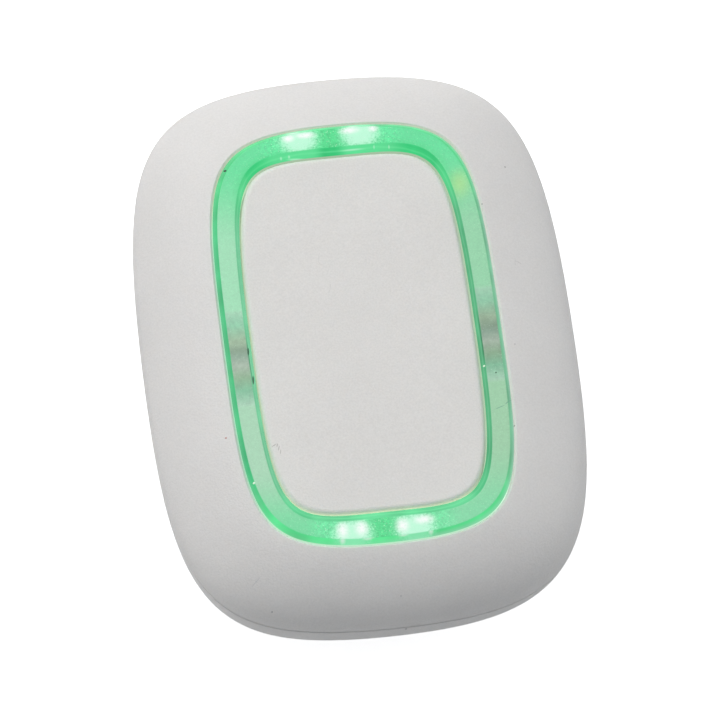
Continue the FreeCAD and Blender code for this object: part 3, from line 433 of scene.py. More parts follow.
# Painted light: the lamps as they show through the crest, painted white reflections in it, and painted
# bright points on the slopes beside them, each as centre, reach and turn.
LAMP_IMAGES = [((x, y, 16), (2.5, 2.1, 9), 0.0) for x in (-3.05, 1.95) for y in (16.75, -16.95)]
CORES = [
    ((-3.85, 16.92, 16), (0.75, 0.5, 3), 0.0),
    ((-2.45, 17.05, 16), (1.2, 0.4, 3), 0.03),
    ((1.15, 17.12, 16), (1.2, 0.45, 3), 0.0),
    ((3.1, 17.12, 16), (0.6, 0.5, 3), 0.0),
    ((-3.8, -16.5, 16), (0.7, 1.0, 3), 0.0),
    ((-2.3, -16.5, 16), (0.8, 0.9, 3), 0.0),
    ((0.95, -16.6, 16), (0.8, 0.9, 3), 0.0),
    ((2.7, -16.3, 16), (1.2, 0.55, 3), 0.0),
]
STARS = [
    ((-3.9, -17.3, 15.8), (0.34, 0.36, 3), 0.0),
    ((-1.9, -17.38, 15.8), (0.6, 0.16, 3), 0.0),
    ((0.9, -17.38, 15.8), (0.6, 0.16, 3), 0.0),
    ((3.12, -17.3, 15.8), (0.3, 0.34, 3), 0.0),
    ((-3.4, 17.36, 15.8), (0.8, 0.18, 3), 0.0),
    ((1.4, 17.4, 15.8), (0.8, 0.18, 3), 0.0),
]
INNER_STARS = [
    ((-4.62, 15.34, 15.8), (0.13, 0.18, 3), 0.0),
    ((-3.96, 15.41, 15.8), (0.13, 0.18, 3), 0.0),
    ((-3.4, 15.2, 15.6), (1.0, 0.12, 3), 0.06),
    ((2.98, 15.54, 15.8), (0.09, 0.2, 3), 0.0),
    ((4.19, 15.43, 15.8), (0.09, 0.2, 3), 0.0),
    ((1.2, 15.5, 15.8), (1.3, 0.10, 3), 0.0),
]
LATCH_BANDS = [
    (0.0, linear(168, 215, 184)),
    (0.10, linear(150, 204, 172)),
    (0.17, linear(144, 204, 169)),
    (0.33, linear(164, 192, 162)),
    (0.43, linear(140, 167, 144)),
    (0.48, linear(146, 174, 154)),
    (0.58, linear(174, 193, 175)),
    (0.70, linear(149, 186, 152)),
    (0.83, linear(132, 194, 158)),
    (0.93, linear(154, 201, 172)),
    (1.0, linear(172, 210, 185)),
]


def ring_spots(net, place, spots, core=0.1):
    """Soft marks, each given as centre, reach and turn, as one mask."""
    total = None
    for centre, reach, turn in spots:
        values = {"Place": place, "Centre": centre, "Reach": reach, "Turn": turn, "Core": core}
        mark = net.group(SPOT, values)["Mark"]
        total = mark if total is None else net.math("MAXIMUM", total, mark)
    return total


def make_lit_ring():
    """Clear plastic whose glow from four lamps is painted as emission: a frosted flat crest between two
    smooth slopes.
    """
    material, net, shader = new_material("lit_ring_plastic")
    place = net.place()
    x, y, _ = net.millimetres(place)
    across = net.separate(net.out(net.add("ShaderNodeUVMap", uv_map="ring_uv")))[1]
    crest = across.rises(0.96, 1.04) * across.falls(1.96, 2.04)
    inner = across.falls(0.96, 1.04)
    outer = across.rises(1.96, 2.04)
    end = net.math("MAXIMUM", y.rises(7.5, 15.4), (y * -1.0).rises(10.5, 16.4))
    at_top = y.rises(-4.0, 4.0)
    at_right = x.rises(-4.0, 4.0)
    sparkle = net.noise(place, 6400.0, 2.0, 0.7)
    veil = net.noise(place, 2300.0, 2.0, 0.6)
    distance, chance = net.cells(place, 8200.0)
    glint = distance.falls(0.12, 0.42) * chance.rises(0.55, 0.95)

    # The crest's painted glow: pale along the sides, deep green at the ends and deepest between the lamps.
    left_light = net.mix(at_top, linear(166, 212, 180), linear(158, 221, 181))
    right_light = net.mix(at_top, linear(154, 203, 165), linear(146, 209, 167))
    bottom_light = net.mix(at_right, linear(114, 216, 158), linear(130, 215, 165))
    end_light = net.mix(at_top, bottom_light, linear(96, 221, 154))
    light = net.mix(end, net.mix(at_right, left_light, right_light), end_light)
    # Where the latches stand under the long sides, the painted light changes in bands.
    bands = net.ramp((2.8 - y) / 8.3, LATCH_BANDS)
    deep = y.rises(-5.2, -3.0) * y.falls(0.0, 2.4)
    bands = net.scaled(bands, 0.99 - deep * 0.09 - at_right * (0.05 + deep * 0.06) + (veil - 0.5) * 0.3)
    light = net.mix(y.rises(-5.6, -5.2) * y.falls(2.4, 2.8), light, bands)
    yellow = ring_spots(net, place, [((9.35, 11.6, 16), (1.5, 1.9, 3), 0.35)], 0.0)
    light = net.mix(yellow * 0.55, light, linear(186, 224, 136))
    near_lamps = (x + 0.55).size().falls(4.4, 6.4) * y.size().rises(14.0, 15.6)
    between = (x + 0.6).size().falls(0.3, 1.5) * near_lamps
    light = net.mix(near_lamps * 0.5, light, linear(96, 238, 162))
    light = net.mix(between * 0.75, light, linear(70, 214, 132))
    light = net.mix(across.falls(1.0, 1.5) * end * at_top * 0.35, light, linear(66, 216, 132))
    speckled = (sparkle - 0.5) * (near_lamps * 0.55 + 0.26) + (veil - 0.5) * (near_lamps * 0.3 + 0.1)
    light = net.scaled(light, speckled + 1.0)
    lamps = ring_spots(net, place, LAMP_IMAGES, 0.05)
    lamps = (lamps + (sparkle - 0.5) * 0.9 * lamps.rises(0.02, 0.4)).rises(0.05, 0.85)
    light = net.mix(lamps * 0.8, light, linear(204, 255, 228))
    light = net.mix(glint * (near_lamps * 0.35 + 0.24), light, linear(224, 255, 234))
    cores = ring_spots(net, place, CORES, 0.0)
    light = net.mix(cores * (0.85 + (sparkle - 0.5) * 1.2), light, (1.0, 1.0, 1.0, 1.0))

    # The slopes are clear, so their painted glow shows the deeper green inside with thin lighter lines.
    flat_place = net.vector("MULTIPLY", place, (1.0, 1.0, 0.0))
    drift = net.noise(flat_place, 380.0, 2.0) - 0.5
    outer_side = net.mix(at_right, linear(66, 190, 124), linear(106, 184, 140))
    outer_end = net.mix(at_top, linear(98, 232, 150), linear(80, 214, 136))
    outer_light = net.scaled(net.mix(end, outer_side, outer_end), drift * 0.9 + 1.0)
    pale_foot = across.rises(2.2, 3.0) * (0.12 + 0.3 * at_right)
    outer_light = net.mix(pale_foot, outer_light, linear(170, 214, 194))
    outer_light = net.mix(lamps * 0.7, outer_light, linear(160, 252, 200))
    outer_light = net.mix(ring_spots(net, place, STARS, 0.0) * 0.55, outer_light, (1.0, 1.0, 1.0, 1.0))
    inner_side = net.mix(at_right, linear(110, 203, 152), linear(84, 176, 124))
    inner_end = net.mix(at_top, linear(100, 216, 150), linear(66, 216, 132))
    inner_light = net.scaled(net.mix(end, inner_side, inner_end), drift * 0.7 + 1.0)
    wander = (net.noise(flat_place, 210.0, 3.0) - 0.5) * 0.9
    fine_line = (across + wander - 0.5).size().falls(0.02, 0.2)
    deep_line = (across + wander * 0.4 - 0.9).size().falls(0.02, 0.16)
    pale = net.mix(end, linear(140, 216, 170), linear(120, 244, 170))
    inner_light = net.mix(fine_line * (near_lamps * 0.15 + 0.25), inner_light, pale)
    inner_light = net.mix(deep_line * 0.1, inner_light, linear(36, 158, 90))
    beside = near_lamps * (x + 0.6).size().rises(0.3, 1.5) * at_top
    inner_light = net.mix(beside * 0.55, inner_light, linear(124, 248, 176))
    latch = y.rises(-4.2, -2.6) * y.falls(-0.6, 0.8)
    inner_light = net.mix(latch * deep_line * 0.6, inner_light, linear(30, 76, 54))
    inner_light = net.mix(ring_spots(net, place, INNER_STARS) * 0.65, inner_light, linear(196, 255, 220))
    light = net.mix(outer, light, outer_light)
    light = net.mix(inner, light, inner_light)
    light = marks(net, place, light, RING_MARKS)
    # The walls below the slopes get a painted glow, which leaks light into the gaps beside them.
    outer_leak = net.mix(at_right, (0.38, 0.66, 0.48, 1.0), (0.75, 0.8, 0.74, 1.0))
    outer_leak = net.mix(end, outer_leak, net.mix(at_top, (0.55, 0.82, 0.62, 1.0), (0.64, 0.78, 0.54, 1.0)))
    outer_wall = across.rises(3.0, 3.06) * across.falls(8.0, 8.5)
    inner_wall = across.falls(-0.03, 0.02) + across.rises(8.8, 9.2)
    light = net.mix(outer_wall, light, outer_leak)
    # Inner walls that face away from the camera get a stronger painted glow, which lights the cap's edge.
    unseen = (1.0 - at_right) * (1.0 - end) + (1.0 - at_top) * end
    inner_leak = net.mix(end, (0.58, 0.76, 0.52, 1.0), (0.85, 1.05, 0.72, 1.0))
    inner_leak = net.mix(unseen, (0.42, 0.56, 0.40, 1.0), inner_leak)
    light = net.mix(inner_wall, light, inner_leak)

    net.dress(shader, {
        "Emission Color": light,
        "Emission Strength": 0.72,
        "Base Color": net.scaled(light, 0.3),
        "Roughness": crest * 0.3 + (sparkle - 0.5) * 0.08 + 0.14,
    })
    ripple = net.noise(place, 420.0, 1.0)
    height = (glint * 0.5 + sparkle * 0.5) * crest + ripple * 0.9
    net.feed(shader.inputs["Normal"], net.bump(height, 0.8, 0.02))
    return material


# Materials of the inside.
def make_board_laminate():
    """Solder mask over traces, with tinned rings at the screws and a bare edge."""
    material, net, shader = new_material("board_laminate")
    place = net.place()
    x, y, z = net.millimetres(place)
    face = (z - (BOARD_TOP + BOARD_SEAT) / 2).size().rises(0.46, 0.48)
    grid = net.scaled(net.turned(place, math.pi / 4), PER_METRE / TRACE_SPACING)
    cell = net.vector("MULTIPLY", net.vector("FLOOR", grid), (1, 1, 0))
    chance = net.out(net.add("ShaderNodeTexWhiteNoise", {"Vector": cell}, noise_dimensions="3D"), "Value")
    inside_x, inside_y, _ = net.separate(net.vector("FRACTION", grid))
    along = net.math("GREATER_THAN", chance, 0.5)
    offset = along * (inside_x - 0.5).size() + (1.0 - along) * (inside_y - 0.5).size()
    trace = offset.falls(0.11, 0.15)
    middle = net.radius(inside_x - 0.5, inside_y - 0.5)
    via = middle.falls(0.26, 0.29) * net.math("GREATER_THAN", chance, 0.86)
    hole = middle.falls(0.10, 0.13) * net.math("GREATER_THAN", chance, 0.86)
    post = net.radius(x.size() - POST_X, y.size() - POST_Y)
    screw_ring = post.falls(1.85, 1.95)
    pads = (screw_ring + via).falls(2.0, 3.0) * net.math("MAXIMUM", screw_ring, via)
    tone = net.noise(place, 900.0, 3.0)
    mask = net.mix(trace * 0.75, linear(18, 92, 46), linear(40, 128, 66))
    mask = net.scaled(mask, (tone - 0.5) * 0.3 + 1.0)
    colour = net.mix(pads, mask, linear(196, 196, 190))
    colour = net.mix(hole, colour, linear(20, 20, 18))
    fibres = net.noise(net.vector("MULTIPLY", place, (1.0, 1.0, 9.0)), 2600.0, 2.0)
    edge = net.mix(fibres, linear(140, 132, 78), linear(186, 178, 120))
    net.dress(shader, {
        "Base Color": net.mix(face, edge, colour),
        "Roughness": (1.0 - face) * 0.4 + tone * 0.12 + 0.22,
        "Metallic": pads * face * (1.0 - hole) * 0.9,
        "Normal": net.bump(trace * 0.5 + pads * 0.6 + fibres * 0.1, 0.6, 0.03),
    })
    return material


def make_cell_steel():
    """Nickel plate with fine rings about the cell's middle and a dark gasket at the lid."""
    material, net, shader = new_material("cell_steel")
    place = net.place()
    x, y, z = net.millimetres(place)
    radius = net.radius(x, y - CELL_Y)
    rings = net.noise(net.combine(radius, 0.0, 0.0), 9.0, 4.0, 0.7)
    stain = net.noise(place, 420.0, 3.0, 0.6)
    gasket = (radius - 8.62).size().falls(0.16, 0.2) * z.rises(5.2, 5.3)
    steel = net.scaled(linear(205, 204, 200)[:3], (rings - 0.5) * 0.35 + (stain - 0.5) * 0.2 + 1.0)
    net.dress(shader, {
        "Base Color": net.mix(gasket, steel, linear(40, 40, 42)),
        "Metallic": 1.0 - gasket,
        "Roughness": (stain - 0.5) * 0.2 + gasket * 0.3 + 0.3,
        "Normal": net.bump(rings, 0.5, 0.004),
    })
    return material


def make_capacitor_ceramic():
    """Brown ceramic between tinned ends. The ends are marked on the mesh."""
    material, net, shader = new_material("capacitor_ceramic")
    place = net.place()
    end = net.out(net.add("ShaderNodeAttribute", attribute_name="tinned_end"), "Fac")
    mottle = net.noise(place, 5200.0, 3.0, 0.6)
    body = net.mix(mottle, linear(138, 104, 74), linear(178, 144, 108))
    tin = net.mix(mottle, linear(176, 176, 172), linear(222, 221, 216))
    net.dress(shader, {
        "Base Color": net.mix(end, body, tin),
        "Metallic": end,
        "Roughness": mottle * 0.2 + end * -0.1 + 0.38,
        "Normal": net.bump(mottle, 0.5, 0.01),
    })
    return material


def make_lamp_plastic():
    """White package whose round well glows green."""
    material, net, shader = new_material("lamp_plastic")
    place = net.place()
    x, y, z = net.millimetres(place)
    lamp_x, lamp_y = LAMP_PLACES[0]
    well = net.radius(x.size() - lamp_x, y.size() - lamp_y).falls(0.46, 0.51) * z.rises(7.6, 7.65)
    contact = (x.size() - lamp_x).size().rises(0.78, 0.8)
    grain = net.noise(place, 5000.0, 2.0)
    package = net.mix(grain, linear(226, 225, 218), linear(240, 240, 234))
    package = net.mix(contact, package, linear(196, 190, 168))
    net.dress(shader, {
        "Base Color": net.mix(well, package, linear(190, 220, 160)),
        "Emission Color": net.mix(well, (0, 0, 0, 1), (0.25, 1.0, 0.45, 1)),
        "Emission Strength": 1.5,
        "Roughness": grain * 0.2 + 0.25,
        "Metallic": contact * 0.8,
        "Normal": net.bump(grain, 0.4, 0.008),
    })
    return material


def make_foam():
    """Closed-cell foam with open pores at its cut faces."""
    material, net, shader = new_material("foam")
    place = net.place()
    pores = net.cells(place, 3400.0)[0]
    small = net.noise(place, 6000.0, 2.0)
    colour = net.mix(pores.rises(0.1, 0.7), linear(24, 24, 27), linear(74, 74, 80))
    net.dress(shader, {
        "Base Color": net.scaled(colour, (small - 0.5) * 0.4 + 1.0),
        "Roughness": small * 0.1 + 0.86,
        "Normal": net.bump(pores, 0.9, 0.08),
    })
    return material


def make_silicone():
    """Milky silicone with flow marks and a little dust."""
    material, net, shader = new_material("silicone")
    place = net.place()
    surface = net.group(MOULDED, {"Place": place, "Grain": 0.3, "Drift": 3.0})
    cling = net.group(DUST, {"Place": place, "Spacing": 1.6, "Share": 0.35})
    base = net.scaled(linear(226, 226, 221)[:3], (surface["Tone"] - 0.5) * 0.12 + 1.0)
    net.dress(shader, {
        "Base Color": net.mix(cling["Specks"] * 0.5, base, linear(120, 118, 116)),
        "Roughness": (surface["Shine"] - 0.5) * 0.2 + 0.5,
        "Normal": net.bump(surface["Height"], 0.5, 0.006),
        "Subsurface Weight": 0.3,
        "Subsurface Radius": (0.0012, 0.0012, 0.0011),
    })
    return material


# Each plastic with its colour, roughness, grain and depth of texture in millimetres, and the
# contrast of its tone. The two outside pieces also have marks, dust and a milky depth.
PLASTICS = [
    ("shell_plastic", (231, 229, 227), 0.46, 0.16, 0.036, 0.24, SHELL_MARKS, 0.12, 0.35),
    ("cap_plastic", (234, 232, 229), 0.5, 0.16, 0.036, 0.3, CAP_MARKS, 0.10, 0.35),
    ("frame_plastic", (92, 94, 97), 0.5, 0.2, 0.014, 0.3),
    ("switch_plastic", (42, 42, 44), 0.42, 0.16, 0.008, 0.4),
    ("plunger_plastic", (190, 190, 186), 0.4, 0.16, 0.006, 0.15),
    ("chip_epoxy", (38, 38, 41), 0.55, 0.09, 0.01, 0.5),
]
# Each metal with its colour, roughness, spacing and depth of rolling lines, and contrast.
METALS = [
    ("screw_steel", (198, 200, 204), 0.32, 0.03, 0.0015, 0.3),
    ("spring_steel", (216, 214, 208), 0.24, 0.05, 0.0015, 0.3),
    ("tin_plate", (212, 212, 209), 0.30, 0.08, 0.0015, 0.25),
]
MATERIALS = {
    "lit_ring_plastic": make_lit_ring(),
    "silicone": make_silicone(),
    "board_laminate": make_board_laminate(),
    "cell_steel": make_cell_steel(),
    "capacitor_ceramic": make_capacitor_ceramic(),
    "lamp_plastic": make_lamp_plastic(),
    "foam": make_foam(),
}
for make, rows in ((moulded_material, PLASTICS), (metal_material, METALS)):
    for row in rows:
        MATERIALS[row[0]] = make(*row)


# Shapes that follow a rule.
def live_value(sockets):
    """The value socket that the node's data type has switched on."""
    return next(socket for socket in sockets if socket.name == "Value" and socket.enabled)


def shape_group(name, inputs):
    """A geometry group that takes a mesh and gives one back in a material."""
    inputs = {"Geometry": GEOMETRY, **inputs, "Material": PAINT}
    net, given, end = new_group(name, inputs, {"Geometry": GEOMETRY}, "GeometryNodeTree")
    net.tree.is_modifier = True
    return net, given, end


def finish_shape(net, given, end, geometry, smooth=True):
    """Ends a shape's tree with real faces in the given material."""
    realized = net.out(net.add("GeometryNodeRealizeInstances", {"Geometry": geometry}))
    shaded = net.add("GeometryNodeSetShadeSmooth", {"Geometry": realized, "Shade Smooth": smooth})
    painted = net.add("GeometryNodeSetMaterial", {"Geometry": net.out(shaded), "Material": given["Material"]})
    net.feed(end.inputs["Geometry"], net.out(painted))


def finish_on_points(net, given, end, item, smooth=True):
    """Ends the tree of a shape that stands at each point of the start mesh."""
    values = {"Points": given["Geometry"], "Instance": net.out(item)}
    finish_shape(net, given, end, net.out(net.add("GeometryNodeInstanceOnPoints", values)), smooth)


def shape_mesh(name, start, tree, values, bevel=0.0):
    """Runs a shape's tree on a start mesh and returns the result as an object with a plain mesh."""
    item = new_object(name, start)
    modifier = item.modifiers.new(name, "NODES")
    modifier.node_group = tree
    for socket in tree.interface.items_tree:
        if socket.in_out == "INPUT" and socket.name in values:
            modifier[socket.identifier] = values[socket.name]
    if bevel:
        softened = item.modifiers.new("softened_edges", "BEVEL")
        softened.width, softened.segments, softened.limit_method = bevel * MM, 2, "ANGLE"
    ready = item.evaluated_get(bpy.context.evaluated_depsgraph_get())
    mesh = bpy.data.meshes.new_from_object(ready)
    item.modifiers.clear()
    item.data = mesh
    mesh.name = name
    # The start mesh leaves an empty material place in front of the shape's own.
    if mesh.materials[0] is None:
        mesh.materials.pop(index=0)
    return item


def make_oval_loft():
    """Closed skin through stations, each an outline of four cubic curves at its own height.

    The start mesh has one point for each station, with half width, half length and height as its
    place and the curves' two shares as attributes.
    """
    net, given, end = shape_group("oval_loft", {"Stations": 2, "Steps Around": 96})
    steps = {"Vertices X": given["Stations"], "Vertices Y": given["Steps Around"]}
    grid = net.add("GeometryNodeMeshGrid", {"Size X": 1.0, "Size Y": 1.0, **steps})
    column, row, _ = net.separate(net.out(net.add("GeometryNodeInputPosition")))
    station = net.math("ROUND", (column + 0.5) * (given["Stations"] - 1.0))

    def at_station(kind, field):
        item = net.add("GeometryNodeSampleIndex", data_type=kind, domain="POINT")
        net.feed(item.inputs["Geometry"], given["Geometry"])
        net.feed(live_value(item.inputs), field)
        net.feed(item.inputs["Index"], station)
        return Signal(net, live_value(item.outputs))

    def share(name):
        item = net.add("GeometryNodeInputNamedAttribute", {"Name": name}, data_type="FLOAT")
        return at_station("FLOAT", net.out(item))

    reach = at_station("FLOAT_VECTOR", net.out(net.add("GeometryNodeInputPosition")))
    half_x, half_y, height = net.separate(reach)
    end_share, side_share = share("end_share"), share("side_share")
    turn = (row + 0.5) * 4.0
    quarter = net.math("MINIMUM", net.math("FLOOR", turn), 3.0)
    part = turn - quarter
    odd = net.math("MODULO", quarter, 2.0)
    run = part * (1.0 - odd * 2.0) + odd
    rest = 1.0 - run
    left = net.math("COMPARE", quarter, 1.5, 0.6)
    sign_x = 1.0 - left * 2.0
    sign_y = 1.0 - net.math("GREATER_THAN", quarter, 1.5) * 2.0
    bend = rest * rest * run * 3.0
    lean = rest * run * run * 3.0
    x = half_x * sign_x * (rest * rest * rest + bend + lean * end_share)
    y = half_y * sign_y * (bend * side_share + lean + run * run * run)
    placed = net.add("GeometryNodeSetPosition", {"Geometry": net.out(grid, "Mesh")})
    net.feed(placed.inputs["Position"], net.combine(x, y, height))
    marked = net.add("GeometryNodeStoreNamedAttribute", data_type="FLOAT_VECTOR", domain="CORNER")
    marked.inputs["Name"].default_value = "loft_place"
    net.feed(marked.inputs["Geometry"], net.out(placed))
    net.feed(live_value(marked.inputs), net.out(grid, "UV Map"))
    merged = net.add("GeometryNodeMergeByDistance", {"Geometry": net.out(marked), "Distance": 0.000001})
    finish_shape(net, given, end, net.out(merged))
    return net.tree


def station_mesh(name, stations):
    """A mesh of loose points that carries the stations of a loft."""
    mesh = bpy.data.meshes.new(name)
    mesh.from_pydata([(s[0] * MM, s[1] * MM, s[4] * MM) for s in stations], [], [])
    for index, label in ((2, "end_share"), (3, "side_share")):
        layer = mesh.attributes.new(label, "FLOAT", "POINT")
        layer.data.foreach_set("value", [s[index] for s in stations])
    return mesh


def soften(stations, radius, steps=3):
    """Rounds the corners of a closed run of stations, and adds a line close to each rounding."""
    result, marks_across = [], []
    count = len(stations)
    for index, here in enumerate(stations):
        for other, order in ((stations[index - 1], 1), (stations[(index + 1) % count], -1)):
            gap = math.dist((here[0], here[4]), (other[0], other[4]))
            cut = min(radius, gap * 0.4) / gap
            edge = [a + (b - a) * cut for a, b in zip(here, other)]
            guard = [a + (b - a) * min(cut * 1.3, 0.45) for a, b in zip(here, other)]
            if order == 1:
                first = edge
                result.append(guard)
                marks_across.append(index - cut)
            else:
                for step in range(steps + 1):
                    t = step / steps
                    result.append([
                        (1 - t) ** 2 * a + 2 * t * (1 - t) * b + t * t * c
                        for a, b, c in zip(first, here, edge)
                    ])
                    marks_across.append(index + (t - 0.5) * 0.1)
                result.append(guard)
                marks_across.append(index + cut)
    return result + [result[0]], marks_across + [count + marks_across[0]]


OVAL_LOFT = make_oval_loft()


def box_faces(low, high):
    """Corners and faces of a block, facing outwards."""
    corners = [(x, y, z) for z in (low[2], high[2]) for y in (low[1], high[1]) for x in (low[0], high[0])]
    faces = [(0, 2, 3, 1), (4, 5, 7, 6), (0, 1, 5, 4), (2, 6, 7, 3), (0, 4, 6, 2), (1, 3, 7, 5)]
    return corners, faces


def loft_piece(name, stations, radius, material, steps_around=385):
    run, marks_across = soften(stations, radius)
    values = {
        "Stations": len(run),
        "Steps Around": steps_around,
        "Material": material,
    }
    item = shape_mesh(name, station_mesh(f"{name}_stations", run), OVAL_LOFT, values)
    mesh = item.data
    places = mesh.attributes["loft_place"].data
    layer = mesh.uv_layers.new(name="ring_uv")
    last = len(run) - 1
    for corner, place in enumerate(places):
        station = min(max(round(place.vector[0] * last), 0), last)
        layer.data[corner].uv = (place.vector[1], marks_across[station])
    mesh.attributes.remove(mesh.attributes["loft_place"])
    return item


def add_blocks(item, blocks, bevel):
    """Adds moulded blocks with softened edges to a piece's mesh. Each sinks into the piece."""
    grown = bmesh.new()
    grown.from_mesh(item.data)
    for low, high in blocks:
        corners, faces = box_faces([v * MM for v in low], [v * MM for v in high])
        verts = [grown.verts.new(corner) for corner in corners]
        made = [grown.faces.new([verts[index] for index in face]) for face in faces]
        edges = {edge for face in made for edge in face.edges}
        bmesh.ops.bevel(grown, geom=list(edges), offset=bevel * MM, segments=2, affect="EDGES", profile=0.5)
    grown.to_mesh(item.data)
    grown.free()


def make_light_ring():
    cap_bore = inset(CAP_OUTLINE, -0.1)
    band_inner = inset(CAP_OUTLINE, -0.46, -0.7)
    band_outer = inset(OPENING_OUTLINE, 0.4)
    wall = inset(OPENING_OUTLINE, 0.05)
    flange = inset(OPENING_OUTLINE, -0.7)
    chamber = inset(CAP_OUTLINE, -CHAMBER_GAP)
    section = [
        (*cap_bore, OPENING),
        (*band_inner, BEAD),
        (*band_outer, BEAD),
        (*wall, OPENING),
        (*wall, LEDGE),
        (*flange, LEDGE),
        (*flange, MEMBRANE),
        (*chamber, MEMBRANE),
        (*chamber, RING_LIP),
        (*cap_bore, RING_LIP),
    ]
    ring = loft_piece("light_ring_lit", section, 0.07, MATERIALS["lit_ring_plastic"])
    middle = (MEMBRANE + LEDGE) / 2
    blocks = [
        ((x - PIPE_HALF_X, y - PIPE_HALF_Y, PIPE_FOOT), (x + PIPE_HALF_X, y + PIPE_HALF_Y, middle))
        for x, y in LAMP_PLACES
    ]
    latch_x = CAP_OUTLINE[0] + CHAMBER_GAP + LATCH_GAP
    leg = (latch_x, latch_x + LATCH_THICKNESS, middle)
    hook = (latch_x - HOOK_REACH, latch_x + LATCH_THICKNESS / 2, LATCH_FOOT + HOOK_HEIGHT)
    for side in (1, -1):
        for near, far, top in (leg, hook):
            low_x, high_x = sorted((side * near, side * far))
            low, high = (low_x, LATCH_Y - LATCH_HALF_Y, LATCH_FOOT), (high_x, LATCH_Y + LATCH_HALF_Y, top)
            blocks.append((low, high))
    add_blocks(ring, blocks, 0.05)
    return ring


def make_seal():
    """A flat cord whose top carries two lips with a groove between them."""
    outer, outer_lip, groove, inner_lip, inner = (
        inset(BODY_OUTLINE, distance) for distance in (0.85, 1.1, 1.225, 1.35, 1.6)
    )
    top = SEAL_FLOOR + SEAL_HEIGHT
    section = [
        (*outer, SEAL_FLOOR),
        (*outer, top),
        (*outer_lip, top),
        (*groove, top - 0.12),
        (*inner_lip, top),
        (*inner, top),
        (*inner, SEAL_FLOOR),
    ]
    return loft_piece("housing_seal_cord", section[::-1], 0.08, MATERIALS["silicone"], 257)


SCREW_SIZES = {
    "Head Radius": 1.3 * MM,
    "Head Height": 0.8 * MM,
    "Shank Radius": 0.57 * MM,
    "Pitch": 0.4 * MM,
    "Thread Depth": 0.11 * MM,
    "Slot Width": 0.4 * MM,
    "Slot Depth": 0.35 * MM,
}


def make_screw_tree():
    """Slotted pan-head screws that point up, one at each point of the start mesh."""
    labels = (*SCREW_SIZES, "Shank Length")
    net, given, end = shape_group("slotted_screw", dict.fromkeys(labels, 0.0))
    grid = net.add("GeometryNodeMeshGrid", {"Size X": 1.0, "Size Y": 1.0, "Vertices X": 89, "Vertices Y": 33})
    column, row, _ = net.separate(net.out(net.add("GeometryNodeInputPosition")))
    along, angle = column + 0.5, (row + 0.5) * (2 * math.pi)
    # The first fifth of the run is the head's crown, side and seat, then come the shank and its tip.
    crown = net.math("MINIMUM", along / 0.14, 1.0)
    side, seat, shank, tip = (
        net.math("MINIMUM", net.math("MAXIMUM", (along - start) / length, 0.0), 1.0)
        for start, length in ((0.14, 0.04), (0.18, 0.04), (0.22, 0.74), (0.96, 0.04))
    )
    dome = 1.0 - net.math("SQRT", net.math("MAXIMUM", 1.0 - crown.power(4.0), 0.0))
    height = dome * given["Head Height"] * 0.45 + side * given["Head Height"] * 0.55
    height = height - given["Head Height"] + shank * given["Shank Length"]
    turns = shank * given["Shank Length"] / given["Pitch"] - angle / (2 * math.pi)
    wave = net.math("PINGPONG", turns + 8.0, 0.5)
    ridge = given["Thread Depth"] * (1.0 - wave * 2.0) * shank.rises(0.0, 0.06) * shank.falls(0.93, 1.0)
    body = given["Shank Radius"] - ridge
    radius = crown * given["Head Radius"]
    radius = radius + seat * (body - given["Head Radius"])
    radius = radius * (1.0 - tip)
    spun = net.combine(radius * net.math("COSINE", angle), radius * net.math("SINE", angle), height)
    skin = net.add("GeometryNodeSetPosition", {"Geometry": net.out(grid, "Mesh"), "Position": spun})
    closed = net.add("GeometryNodeMergeByDistance", {"Geometry": net.out(skin), "Distance": 0.000002})
    blade = net.add("GeometryNodeMeshCube")
    length = given["Head Radius"] * 3.0
    net.feed(blade.inputs["Size"], net.combine(length, given["Slot Width"], given["Slot Depth"] * 2.0))
    sunk = net.add("GeometryNodeTransform", {"Geometry": net.out(blade)})
    net.feed(sunk.inputs["Translation"], net.combine(0.0, 0.0, -1.0 * given["Head Height"]))
    cut = net.add("GeometryNodeMeshBoolean", operation="DIFFERENCE", solver="EXACT")
    net.feed(cut.inputs["Mesh 1"], net.out(closed))
    net.feed(cut.inputs["Mesh 2"], net.out(sunk))
    finish_on_points(net, given, end, cut)
    return net.tree


def points_mesh(name, places):
    mesh = bpy.data.meshes.new(name)
    mesh.from_pydata([tuple(v * MM for v in place) for place in places], [], [])
    return mesh


def four_places(x, y, z):
    return [(x * sx, y * sy, z) for sx in (1, -1) for sy in (1, -1)]


def make_screws(name, tree, places, length):
    values = {**SCREW_SIZES, "Shank Length": length * MM, "Material": MATERIALS["screw_steel"]}
    item = shape_mesh(name, points_mesh(f"{name}_places", places), tree, values)
    item.data.set_sharp_from_angle(angle=math.radians(35))
    return item


def make_capacitor_tree():
    """Chip capacitors, each a ceramic block between two tinned caps that stand a little proud."""
    labels = ("Length", "Width", "Cap Length", "Step")
    net, given, end = shape_group("chip_capacitor", dict.fromkeys(labels, 0.0))

    def block(length, width, x, tinned):
        cube = net.add("GeometryNodeMeshCube")
        net.feed(cube.inputs["Size"], net.combine(length, width, width))
        moved = net.add("GeometryNodeTransform", {"Geometry": net.out(cube)})
        net.feed(moved.inputs["Translation"], net.combine(x, 0.0, given["Width"] * 0.5))
        marked = net.add("GeometryNodeStoreNamedAttribute", data_type="FLOAT", domain="POINT")
        net.feed(marked.inputs["Geometry"], net.out(moved))
        marked.inputs["Name"].default_value = "tinned_end"
        live_value(marked.inputs).default_value = tinned
        return net.out(marked)

    joined = net.add("GeometryNodeJoinGeometry")
    cap_x = (given["Length"] - given["Cap Length"]) * 0.5
    body_length = given["Length"] - given["Cap Length"] * 1.4
    parts = [
        block(body_length, given["Width"] - given["Step"], 0.0, 0.0),
        block(given["Cap Length"], given["Width"], cap_x, 1.0),
        block(given["Cap Length"], given["Width"], -1.0 * cap_x, 1.0),
    ]
    for part in parts:
        net.tree.links.new(part.socket, joined.inputs[0])
    finish_on_points(net, given, end, joined, smooth=False)
    return net.tree


